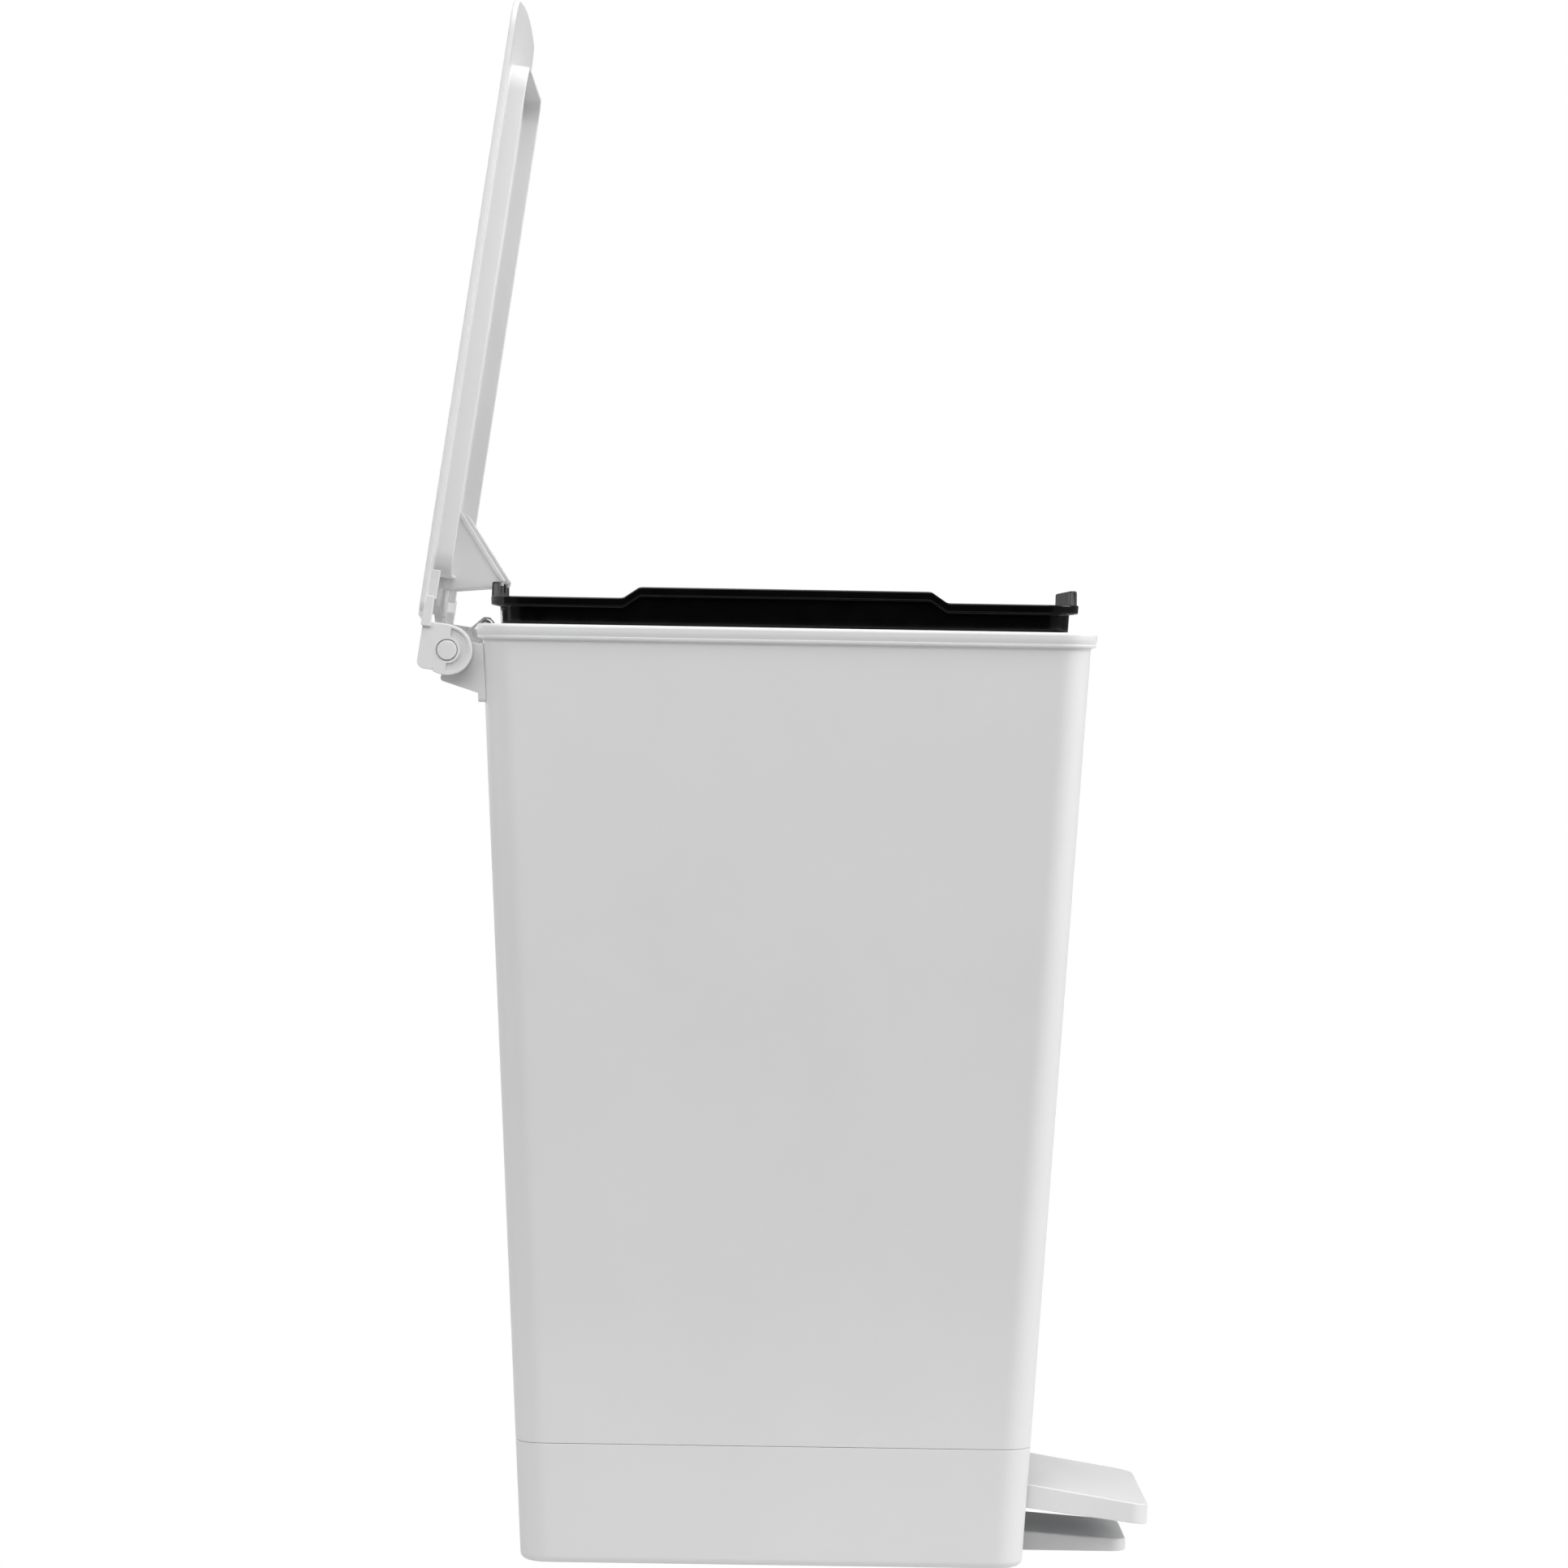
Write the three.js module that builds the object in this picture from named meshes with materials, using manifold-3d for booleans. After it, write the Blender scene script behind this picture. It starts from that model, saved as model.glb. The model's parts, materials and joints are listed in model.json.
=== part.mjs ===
// Step-on trash can with a lift-out inner liner, in millimetres.
// Frame: +X towards the pedal, +Z up, origin on the floor under the middle of the base.
// It stands as it does while its pedal is held down: lid open, push rod up, liner raised for lifting out.
import * as THREE from 'three';
import { mergeVertices } from 'three/addons/utils/BufferGeometryUtils.js';
import Module from 'manifold-3d';

const wasm = await Module();
wasm.setup();

// ---------- driving dimensions ----------
const GAP = 0.3; // between pieces that touch
const TAPER = 0.0543; // how far each wall leans in, per millimetre down
const WALL = 3;
const CORNER = 20; // plan radius of the walls' corners

const FLOOR_RISE = 1.2; // the base's underside, above the feet's soles
const SEAM = 85; // where the base meets the body
const RIM_TOP = 650;
const RIM_FOOT = 637; // where the rim's underside leaves the wall
const RIM_HALF_X = 213;
const RIM_HALF_Y = 145;
const RIM_LIP = 4.3; // how far the rim stands out from the wall
const BODY_FLOOR = 96; // underside of the body's floor
const BASE_SOLE = 3; // thickness of the base's floor

const HINGE_X = -232;
const HINGE_Z = 631.2;
const PIN_RADIUS = 3;
const LID_SWING = THREE.MathUtils.degToRad(82.05);

const LID_UNDER = 19.1; // plate's underside above the hinge axis, lid closed
const LID_PLATE = 3.9;
const LID_REAR = 22.5; // measured forward from the hinge axis
const LID_FRONT = 445.5;
const LID_BULGE = 5.5; // extra length in the middle of the front edge
const LID_CORNER = 21;
const SKIRT_DEPTH = 12.5;
const SKIRT_REAR = 49;
const SKIRT_FRONT = 404.5;
const SKIRT_HALF_Y = 118;
const ARM_LOW = 13.4; // underside of the arms beside the hinge, above its axis

const CRANK_RADIUS = 26.5; // hinge axis to the push rod's upper bend
const ROD_RADIUS = 2.5;
const ROD_PLANE = -8; // the rod runs beside the crank and the lever, in this Y plane
const ROD_INSET = 3.4; // rod's centreline from the wall's inner face
const ROD_LOW_X = -158; // where its lower bend passes through the lever

const LEVER_PIVOT_X = 60;
const LEVER_PIVOT_Z = 48;
const AXLE_RADIUS = 4;
const PEDAL_TILT = THREE.MathUtils.degToRad(9.3); // nose down while it is held down
const TREAD_HALF_Y = 79;

const LINER_TOP = 668.8; // flange's top with the liner raised
const LINER_X = -1.6; // the liner sits a little behind the middle
const LINER_HALF_X = 196.1;
const LINER_HALF_Y = 127;
const LINER_WALL = 2.2;
const LINER_FLANGE = 6;
const LINER_BOTTOM = 131;

// ---------- derived places ----------
const WALL_HALF_X = RIM_HALF_X - RIM_LIP;
const WALL_HALF_Y = RIM_HALF_Y - RIM_LIP;
const LEAN = Math.atan(TAPER);
const wallHalf = (half, z) => half - TAPER * (RIM_FOOT - z);
const rodX = (z) => -wallHalf(WALL_HALF_X, z) + WALL + ROD_INSET;
const ROD_LOW_Z = LEVER_PIVOT_Z + CRANK_RADIUS * Math.sin(LID_SWING / 2);
const ROD_BEND_Z = HINGE_Z + CRANK_RADIUS * Math.sin(LID_SWING / 2);
const ROD_BEND_X = HINGE_X + CRANK_RADIUS * Math.cos(LID_SWING / 2) - 0.9;

// ---------- materials ----------
const plastic = (color, roughness) => new THREE.MeshStandardMaterial({ color, roughness, metalness: 0 });
const steel = () => new THREE.MeshStandardMaterial({ color: 0xb9bcc0, roughness: 0.35, metalness: 0.9 });
const white = () => plastic(0xecedef, 0.45);
const black = () => plastic(0x0b0c0d, 0.15);
const grey = () => plastic(0x8c9094, 0.5);
const rubber = () => plastic(0x2a2a2b, 0.85);

// ---------- solids ----------
function toSolid(geometry) {
  const bare = geometry.clone();
  bare.deleteAttribute('normal');
  bare.deleteAttribute('uv');
  const merged = mergeVertices(bare, 1e-4);
  return new wasm.Manifold(new wasm.Mesh({
    numProp: 3,
    vertProperties: new Float32Array(merged.attributes.position.array),
    triVerts: new Uint32Array(merged.index.array),
  }));
}

function toGeometry(solid) {
  const mesh = solid.getMesh();
  const geometry = new THREE.BufferGeometry();
  geometry.setAttribute('position', new THREE.BufferAttribute(mesh.vertProperties, 3));
  geometry.setIndex(new THREE.BufferAttribute(mesh.triVerts, 1));
  geometry.computeVertexNormals();
  return geometry;
}

function join(...geometries) {
  return toGeometry(geometries.map(toSolid).reduce((sum, next) => sum.add(next)));
}

function cut(geometry, ...tools) {
  return toGeometry(tools.map(toSolid).reduce((rest, tool) => rest.subtract(tool), toSolid(geometry)));
}

function common(first, second) {
  return toGeometry(toSolid(first).intersect(toSolid(second)));
}

function block(x0, x1, y0, y1, z0, z1) {
  const geometry = new THREE.BoxGeometry(x1 - x0, y1 - y0, z1 - z0);
  return geometry.translate((x0 + x1) / 2, (y0 + y1) / 2, (z0 + z1) / 2);
}

// A round bar between two points.
function bar(radius, from, to, sides = 16) {
  const along = new THREE.Vector3().subVectors(to, from);
  const geometry = new THREE.CylinderGeometry(radius, radius, along.length(), sides);
  const axis = new THREE.Vector3(0, 1, 0);
  geometry.applyQuaternion(new THREE.Quaternion().setFromUnitVectors(axis, along.clone().normalize()));
  return geometry.translate(...new THREE.Vector3().addVectors(from, to).multiplyScalar(0.5));
}

const point = (x, y, z) => new THREE.Vector3(x, y, z);
const barY = (radius, x, z, y0, y1, sides) => bar(radius, point(x, y0, z), point(x, y1, z), sides);
const barZ = (radius, x, y, z0, z1, sides) => bar(radius, point(x, y, z0), point(x, y, z1), sides);

// A washer or clip: a flat ring about the Y axis.
function ringY(inner, outer, x, z, y0, y1) {
  return cut(barY(outer, x, z, y0, y1, 20), barY(inner, x, z, y0 - 1, y1 + 1, 16));
}

// An outline drawn in X and Z, given thickness from y0 to y1.
function plateXZ(shape, y0, y1, curveSegments = 8) {
  const geometry = new THREE.ExtrudeGeometry(shape, { depth: y1 - y0, bevelEnabled: false, curveSegments });
  return geometry.rotateX(Math.PI / 2).translate(0, y1, 0);
}

// An outline drawn in X and Y, given thickness from z0 to z1.
function plateXY(shape, z0, z1, curveSegments = 6) {
  const geometry = new THREE.ExtrudeGeometry(shape, { depth: z1 - z0, bevelEnabled: false, curveSegments });
  return geometry.translate(0, 0, z0);
}

function outline(...corners) {
  return new THREE.Shape(corners.map(([x, y]) => new THREE.Vector2(x, y)));
}

// A rounded rectangle in plan, as one ring of points for a loft.
function ring(z, halfX, halfY, radius, perCorner = 6) {
  const points = [];
  for (let corner = 0; corner < 4; corner += 1) {
    const signX = corner === 0 || corner === 3 ? 1 : -1;
    const signY = corner < 2 ? 1 : -1;
    for (let step = 0; step <= perCorner; step += 1) {
      const angle = (corner + step / perCorner) * (Math.PI / 2);
      const x = signX * (halfX - radius) + radius * Math.cos(angle);
      const y = signY * (halfY - radius) + radius * Math.sin(angle);
      points.push([x, y, z]);
    }
  }
  return points;
}

// A closed solid through a stack of rings, lowest first.
function loft(rings) {
  const count = rings[0].length;
  const positions = rings.flat(2);
  const index = [];
  for (let level = 0; level + 1 < rings.length; level += 1) {
    for (let i = 0; i < count; i += 1) {
      const a = level * count + i;
      const b = level * count + ((i + 1) % count);
      index.push(a, b, b + count, a, b + count, a + count);
    }
  }
  const top = (rings.length - 1) * count;
  for (let i = 1; i + 1 < count; i += 1) {
    index.push(0, i + 1, i);
    index.push(top, top + i, top + i + 1);
  }
  const geometry = new THREE.BufferGeometry();
  geometry.setAttribute('position', new THREE.Float32BufferAttribute(positions, 3));
  geometry.setIndex(index);
  return geometry;
}

// The wall's outline at a height, moved in by some distance.
function wallRing(z, inset = 0) {
  const halfX = wallHalf(WALL_HALF_X, z) - inset;
  const halfY = wallHalf(WALL_HALF_Y, z) - inset;
  return ring(z, halfX, halfY, CORNER - inset);
}

function rimRing(z, inset = 0) {
  return ring(z, RIM_HALF_X - inset, RIM_HALF_Y - inset, CORNER + RIM_LIP - inset);
}

function pieceOf(name, geometry, material) {
  const mesh = new THREE.Mesh(geometry, material);
  mesh.name = name;
  return mesh;
}

// ---------- places shared by several pieces ----------
const CASE_SCREWS = [[1, 1], [-1, 1], [-1, -1], [1, -1]].map(([x, y]) => [x * 138, y * 86]);
const FOOT_PADS = [
  ['front_left', 1, 1],
  ['rear_left', -1, 1],
  ['rear_right', -1, -1],
  ['front_right', 1, -1],
];
const PAD_X = 152;
const PAD_Y = 66;
const PAD_RADIUS = 10;
const SADDLE_Y = [34, 45];
const SADDLE_SCREW_X = 16;
const FOOT_SCREW_Y = 34;
const FOOT_SCREW_X = 140;
const SIDES = [['left', 1], ['right', -1]];
const onSide = (side, [near, far]) => (side > 0 ? [near, far] : [-far, -near]);
const EAR_Y = [113, 126.5];
const KNUCKLE_Y = [127, 141];
const ARM_Y = [119, 126];
const SHOULDER_Y = [138.5, 144.5];
const BRACKET_SCREW_Y = 98;
const BRACKET_Z = 614;
const BRACKET_SCREW_Z = [BRACKET_Z - 9, BRACKET_Z + 7];
const GUSSET_Y = [49, 51.6];
const FOOT_HALF_Y = 44;
const GUIDES = [['lower', 170], ['upper', 470]];
const BASE_TOP = FLOOR_RISE + BASE_SOLE;

// Places along the rear wall are set out from a frame that leans with it:
// x inwards from the wall's inner face, z up the wall.
function rearWallFrame() {
  const frame = new THREE.Group();
  frame.position.set(-wallHalf(WALL_HALF_X, 0) + WALL, 0, 0);
  frame.rotation.y = -LEAN;
  return frame;
}

// ---------- body ----------
function bodyShell() {
  const outer = loft([
    wallRing(SEAM + GAP),
    wallRing(RIM_FOOT),
    rimRing(RIM_FOOT + 3, 0.8),
    rimRing(RIM_FOOT + 4),
    rimRing(RIM_TOP - 1),
    rimRing(RIM_TOP, 1),
  ]);
  const inside = loft([wallRing(BODY_FLOOR + WALL, WALL), wallRing(RIM_TOP + 5, WALL)]);
  const skirtInside = loft([wallRing(SEAM - 5, WALL), wallRing(BODY_FLOOR, WALL)]);
  const crankNotch = block(-RIM_HALF_X - 5, -190, -13, 13, RIM_TOP - 58, RIM_TOP + 5);
  const rodHole = block(-190, -158, -13, 13, BODY_FLOOR - 1, BODY_FLOOR + WALL + 1);
  const bracketHoles = SIDES.flatMap(([, side]) => BRACKET_SCREW_Z.map((z) => (
    bar(2.3, point(-220, side * BRACKET_SCREW_Y, z), point(-190, side * BRACKET_SCREW_Y, z), 12))));
  const shell = cut(outer, inside, skirtInside, crankNotch, rodHole, ...bracketHoles);
  const bosses = CASE_SCREWS.map(([x, y]) => barZ(5.5, x, y, SEAM + GAP, BODY_FLOOR + 1));
  const bores = CASE_SCREWS.map(([x, y]) => barZ(2.1, x, y, SEAM - 1, BODY_FLOOR - 1, 12));
  return cut(join(shell, ...bosses), ...bores);
}

// The body's outline with a little air round it, to cut what is fastened to it.
function bodyEnvelope() {
  return loft([
    wallRing(500, -GAP),
    wallRing(RIM_FOOT, -GAP),
    rimRing(RIM_FOOT + 4, -GAP),
    rimRing(RIM_TOP, -GAP),
  ]);
}

// ---------- base ----------
function baseShell() {
  const outer = loft([
    wallRing(FLOOR_RISE, 5),
    wallRing(FLOOR_RISE + 1.5, 1.6),
    wallRing(FLOOR_RISE + 5),
    wallRing(SEAM - GAP),
    wallRing(SEAM - GAP, WALL + GAP),
    wallRing(BODY_FLOOR - 2, WALL + GAP),
  ]);
  const inside = loft([
    wallRing(BASE_TOP, WALL + 1),
    wallRing(SEAM - 9, WALL),
    wallRing(SEAM - 7, WALL + 2.3),
    wallRing(BODY_FLOOR, WALL + 2.3),
  ]);
  const pedalSlot = block(150, 190, -TREAD_HALF_Y - 3, TREAD_HALF_Y + 3, 35, 80);
  const footNotch = block(150, 190, -FOOT_HALF_Y - 2, FOOT_HALF_Y + 2, BASE_TOP, 21.2);
  const rodNotch = block(-176.5, -150, -13, 13, SEAM - 10, BODY_FLOOR);
  const shell = cut(outer, inside, pedalSlot, footNotch, rodNotch);
  const posts = CASE_SCREWS.map(([x, y]) => barZ(7.5, x, y, BASE_TOP - 1, SEAM - GAP, 20));
  const wells = CASE_SCREWS.map(([x, y]) => barZ(4.8, x, y, 0, SEAM - 9));
  const bores = CASE_SCREWS.map(([x, y]) => barZ(2.2, x, y, SEAM - 10, SEAM + 2, 12));
  const recesses = FOOT_PADS.map(([, x, y]) => (
    barZ(PAD_RADIUS + GAP, x * PAD_X, y * PAD_Y, 0, BASE_TOP - 1, 24)));
  const saddleHoles = saddleScrewPlaces().map(([x, y]) => barZ(2.2, x, y, 0, BASE_TOP + 1, 12));
  const footHoles = [-1, 1].map((side) => barZ(2.2, FOOT_SCREW_X, side * FOOT_SCREW_Y, 0, BASE_TOP + 1, 12));
  return cut(join(shell, ...posts), ...wells, ...bores, ...recesses, ...saddleHoles, ...footHoles);
}

function stabiliserFoot() {
  const sole = BASE_TOP + GAP;
  const side = outline([150, sole], [248.5, sole], [250.5, sole + 1], [250.5, 11], [248.5, 13], [150, 20.4]);
  const plan = new THREE.Shape();
  plan.moveTo(172.5, -FOOT_HALF_Y);
  plan.lineTo(238.5, -FOOT_HALF_Y);
  plan.absarc(238.5, -FOOT_HALF_Y + 12, 12, -Math.PI / 2, 0, false);
  plan.absarc(238.5, FOOT_HALF_Y - 12, 12, 0, Math.PI / 2, false);
  plan.lineTo(172.5, FOOT_HALF_Y);
  const outside = common(plateXZ(side, -FOOT_HALF_Y - 5, FOOT_HALF_Y + 5), plateXY(plan, -2, 24));
  const hollow = block(184, 246, -FOOT_HALF_Y + 3, FOOT_HALF_Y - 3, -2, 9.8);
  const tongue = block(116, 180, -FOOT_HALF_Y + 4, FOOT_HALF_Y - 4, sole, sole + 3.2);
  const holes = SIDES.map(([, y]) => barZ(2.2, FOOT_SCREW_X, y * FOOT_SCREW_Y, 0, 20, 12));
  return cut(join(cut(outside, hollow), tongue), ...holes);
}

function footPad(x, y) {
  return barZ(PAD_RADIUS, x * PAD_X, y * PAD_Y, 0, BASE_TOP - 1 - GAP, 24);
}

// A pan-headed screw along Z, from under its head to its tip.
function screwZ(x, y, headZ, tipZ) {
  const headTop = headZ + 2 * Math.sign(headZ - tipZ);
  return join(barZ(3.6, x, y, headZ, headTop), barZ(1.8, x, y, headTop, tipZ, 12));
}

// ---------- pedal mechanism ----------
function saddleScrewPlaces() {
  return SIDES.flatMap(([, side]) => [-1, 1].map((end) => (
    [LEVER_PIVOT_X + end * SADDLE_SCREW_X, side * (SADDLE_Y[0] + SADDLE_Y[1]) / 2])));
}

function axleSaddle(side) {
  const [y0, y1] = onSide(side, SADDLE_Y);
  const foot = block(LEVER_PIVOT_X - 22, LEVER_PIVOT_X + 22, y0, y1, BASE_TOP + GAP, BASE_TOP + 4);
  const post = new THREE.Shape();
  post.moveTo(LEVER_PIVOT_X - 11, BASE_TOP + 2);
  post.lineTo(LEVER_PIVOT_X + 11, BASE_TOP + 2);
  post.lineTo(LEVER_PIVOT_X + 9, LEVER_PIVOT_Z);
  post.absarc(LEVER_PIVOT_X, LEVER_PIVOT_Z, 9, 0, Math.PI, false);
  const bore = barY(AXLE_RADIUS + GAP, LEVER_PIVOT_X, LEVER_PIVOT_Z, y0 - 1, y1 + 1, 20);
  const holes = [-1, 1].map((end) => (
    barZ(2.2, LEVER_PIVOT_X + end * SADDLE_SCREW_X, (y0 + y1) / 2, 0, 20, 12)));
  return cut(join(foot, plateXZ(post, y0, y1)), bore, ...holes);
}

// The lever and the tread are drawn level about the pivot, and tilted together.
const LEVER_REACH = Math.hypot(LEVER_PIVOT_X - ROD_LOW_X, ROD_LOW_Z - LEVER_PIVOT_Z) - 0.95;
const REAR_TURN = PEDAL_TILT - Math.atan((ROD_LOW_Z - LEVER_PIVOT_Z) / (LEVER_PIVOT_X - ROD_LOW_X));
const REAR_END = [-LEVER_REACH * Math.cos(REAR_TURN), -LEVER_REACH * Math.sin(REAR_TURN)];
const TREAD_TOP = 27.6;
const TREAD_REAR = 84;
const TREAD_NOSE = 203;
const TREAD_SKIN = 2.6;

function beam(x, z, depth, halfY) {
  const length = Math.hypot(x, z);
  return block(0, length, -halfY, halfY, -depth / 2, depth / 2).rotateY(-Math.atan2(z, x));
}

function pedalLever() {
  const plateTop = TREAD_TOP - TREAD_SKIN - GAP;
  const plate = block(92, 190, -52, 52, plateTop - 3, plateTop);
  const hub = barY(10, 0, 0, -30, 30, 24);
  const rearArm = beam(REAR_END[0], REAR_END[1], 14, 3);
  const rearEye = barY(9, REAR_END[0], REAR_END[1], -3, 3, 20);
  const frontRibs = [-22, 22].map((y) => beam(104, plateTop - 8, 13, 2.5).translate(0, y, 0));
  const crossRib = block(92, 98, -30, 30, plateTop - 10, plateTop - 1);
  const axleBore = barY(AXLE_RADIUS + GAP, 0, 0, -40, 40, 20);
  const slotHalf = ROD_RADIUS + 0.5;
  const [slotX, slotZ] = REAR_END;
  const slotEnds = [-1.6, 1.6].map((x) => barY(slotHalf, slotX + x, slotZ, -5, 5));
  const slotMiddle = block(slotX - 1.6, slotX + 1.6, -5, 5, slotZ - slotHalf, slotZ + slotHalf);
  const screwHoles = [-1, 1].map((side) => barZ(2.2, 150, side * 38, 0, 40, 12));
  const lever = join(plate, hub, rearArm, rearEye, ...frontRibs, crossRib);
  return cut(lever, axleBore, ...slotEnds, slotMiddle, ...screwHoles);
}

function pedalTread() {
  const corner = 12;
  const side = outline(
    [TREAD_REAR, 10], [117, 10.6], [182, 13.3], [TREAD_NOSE - 1, 13.7], [TREAD_NOSE, 14.7],
    [TREAD_NOSE - 1.6, TREAD_TOP - 1], [TREAD_NOSE - 2.6, TREAD_TOP], [TREAD_REAR, TREAD_TOP],
  );
  const plan = new THREE.Shape();
  plan.moveTo(TREAD_REAR - 1, -TREAD_HALF_Y);
  plan.lineTo(TREAD_NOSE - corner, -TREAD_HALF_Y);
  plan.absarc(TREAD_NOSE - corner, -TREAD_HALF_Y + corner, corner, -Math.PI / 2, 0, false);
  plan.absarc(TREAD_NOSE - corner, TREAD_HALF_Y - corner, corner, 0, Math.PI / 2, false);
  plan.lineTo(TREAD_REAR - 1, TREAD_HALF_Y);
  const outside = common(plateXZ(side, -TREAD_HALF_Y - 5, TREAD_HALF_Y + 5), plateXY(plan, 0, 40));
  const wallY = TREAD_HALF_Y - TREAD_SKIN;
  const hollow = block(TREAD_REAR - 5, TREAD_NOSE - 9, -wallY, wallY, 0, TREAD_TOP - TREAD_SKIN);
  const bosses = [-1, 1].map((y) => barZ(5, 150, y * 38, TREAD_TOP - TREAD_SKIN - 0.2, TREAD_TOP - 1));
  return join(cut(outside, hollow), ...bosses);
}

// The rod's bends, from its lower end in the lever to its upper end in the crank.
function pushRod() {
  const path = [
    point(ROD_LOW_X, 8, ROD_LOW_Z),
    point(ROD_LOW_X, ROD_PLANE, ROD_LOW_Z),
    point(rodX(ROD_LOW_Z + 13), ROD_PLANE, ROD_LOW_Z + 13),
    point(rodX(ROD_BEND_Z - 19), ROD_PLANE, ROD_BEND_Z - 19),
    point(ROD_BEND_X, ROD_PLANE, ROD_BEND_Z),
    point(ROD_BEND_X, 8, ROD_BEND_Z),
  ];
  const runs = path.slice(1).map((end, i) => bar(ROD_RADIUS, path[i], end, 12));
  const bends = path.slice(1, -1).map((at) => (
    new THREE.SphereGeometry(ROD_RADIUS, 12, 8).translate(at.x, at.y, at.z)));
  return join(...runs, ...bends);
}

function rodGuide() {
  const depth = ROD_INSET + ROD_RADIUS + 1.5;
  const body = block(GAP, depth, ROD_PLANE - 8, ROD_PLANE + 8, -8, 8);
  return cut(body, barZ(ROD_RADIUS + 0.5, ROD_INSET, ROD_PLANE, -10, 10, 16));
}

// ---------- hinge ----------
function hingeBracket(side) {
  const [y0, y1] = onSide(side, EAR_Y);
  const ear = new THREE.Shape();
  ear.moveTo(-6, -20);
  ear.lineTo(32, -32.5);
  ear.lineTo(32, 4);
  ear.lineTo(13, 6);
  ear.absarc(0, 0, 11, Math.PI * 0.22, Math.PI * 1.22, false);
  ear.quadraticCurveTo(-8.5, -14, -8, -17);
  ear.quadraticCurveTo(-7.6, -19.6, -6, -20);
  const plateY = onSide(side, [88, EAR_Y[1]]);
  const plateX = -wallHalf(WALL_HALF_X, BRACKET_Z);
  const plate = block(-4.3, 8, plateY[0], plateY[1], -18, 14).rotateY(-LEAN).translate(plateX, 0, BRACKET_Z);
  const whole = join(plateXZ(ear, y0, y1).translate(HINGE_X, 0, HINGE_Z), plate);
  const pinHole = barY(PIN_RADIUS + GAP, HINGE_X, HINGE_Z, y0 - 1, y1 + 1, 16);
  const screwHoles = BRACKET_SCREW_Z.map((z) => (
    bar(2.1, point(-211.2, side * BRACKET_SCREW_Y, z), point(-190, side * BRACKET_SCREW_Y, z), 12)));
  return cut(whole, bodyEnvelope(), pinHole, ...screwHoles);
}

function bracketScrew(side, z) {
  const y = side * BRACKET_SCREW_Y;
  const inner = -wallHalf(WALL_HALF_X, z) + WALL + GAP;
  const shank = bar(1.8, point(-210.8, y, z), point(inner + 0.5, y, z), 12);
  return join(shank, bar(3.6, point(inner + 0.2, y, z), point(inner + 2, y, z)));
}

function hingePin(side) {
  const at = (y) => point(HINGE_X, side * y, HINGE_Z);
  const shank = bar(PIN_RADIUS, at(EAR_Y[0] - 3), at(KNUCKLE_Y[1] - 1), 20);
  return join(shank, bar(6.7, at(KNUCKLE_Y[1] - 1.4), at(KNUCKLE_Y[1] + 0.8), 24));
}

// ---------- lid, drawn closed, about its hinge axis ----------
function lidPlan() {
  const plan = new THREE.Shape();
  const halfY = RIM_HALF_Y;
  const frontX = LID_FRONT - LID_CORNER;
  plan.moveTo(LID_REAR + 8, -halfY);
  plan.lineTo(frontX, -halfY);
  plan.absarc(frontX, -halfY + LID_CORNER, LID_CORNER, -Math.PI / 2, -0.05, false);
  plan.quadraticCurveTo(LID_FRONT + LID_BULGE * 2, 0, LID_FRONT, halfY - LID_CORNER);
  plan.absarc(frontX, halfY - LID_CORNER, LID_CORNER, 0, Math.PI / 2, false);
  plan.lineTo(LID_REAR + 8, halfY);
  plan.absarc(LID_REAR + 8, halfY - 8, 8, Math.PI / 2, Math.PI, false);
  plan.absarc(LID_REAR + 8, -halfY + 8, 8, Math.PI, Math.PI * 1.5, false);
  return plan;
}

function lidSkirt() {
  const middle = (SKIRT_REAR + SKIRT_FRONT) / 2;
  const halfX = (SKIRT_FRONT - SKIRT_REAR) / 2;
  const wall = 2.4;
  const [low, high] = [LID_UNDER - SKIRT_DEPTH, LID_UNDER + 1];
  const outer = loft([ring(low, halfX, SKIRT_HALF_Y, 18), ring(high, halfX, SKIRT_HALF_Y, 18)]);
  const inner = loft([
    ring(low - 1, halfX - wall, SKIRT_HALF_Y - wall, 18 - wall),
    ring(high + 1, halfX - wall, SKIRT_HALF_Y - wall, 18 - wall),
  ]);
  return cut(outer, inner).translate(middle, 0, 0);
}

// A triangular stiffener near the hinge, which hangs inside the liner's mouth.
function lidGusset(side) {
  const shape = outline(
    [40.6, LID_UNDER + 1], [41.4, 8.6], [49.6, -27.4],
    [53.5, -28], [96, 8.8], [96, LID_UNDER + 1],
  );
  return plateXZ(shape, ...onSide(side, GUSSET_Y));
}

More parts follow.
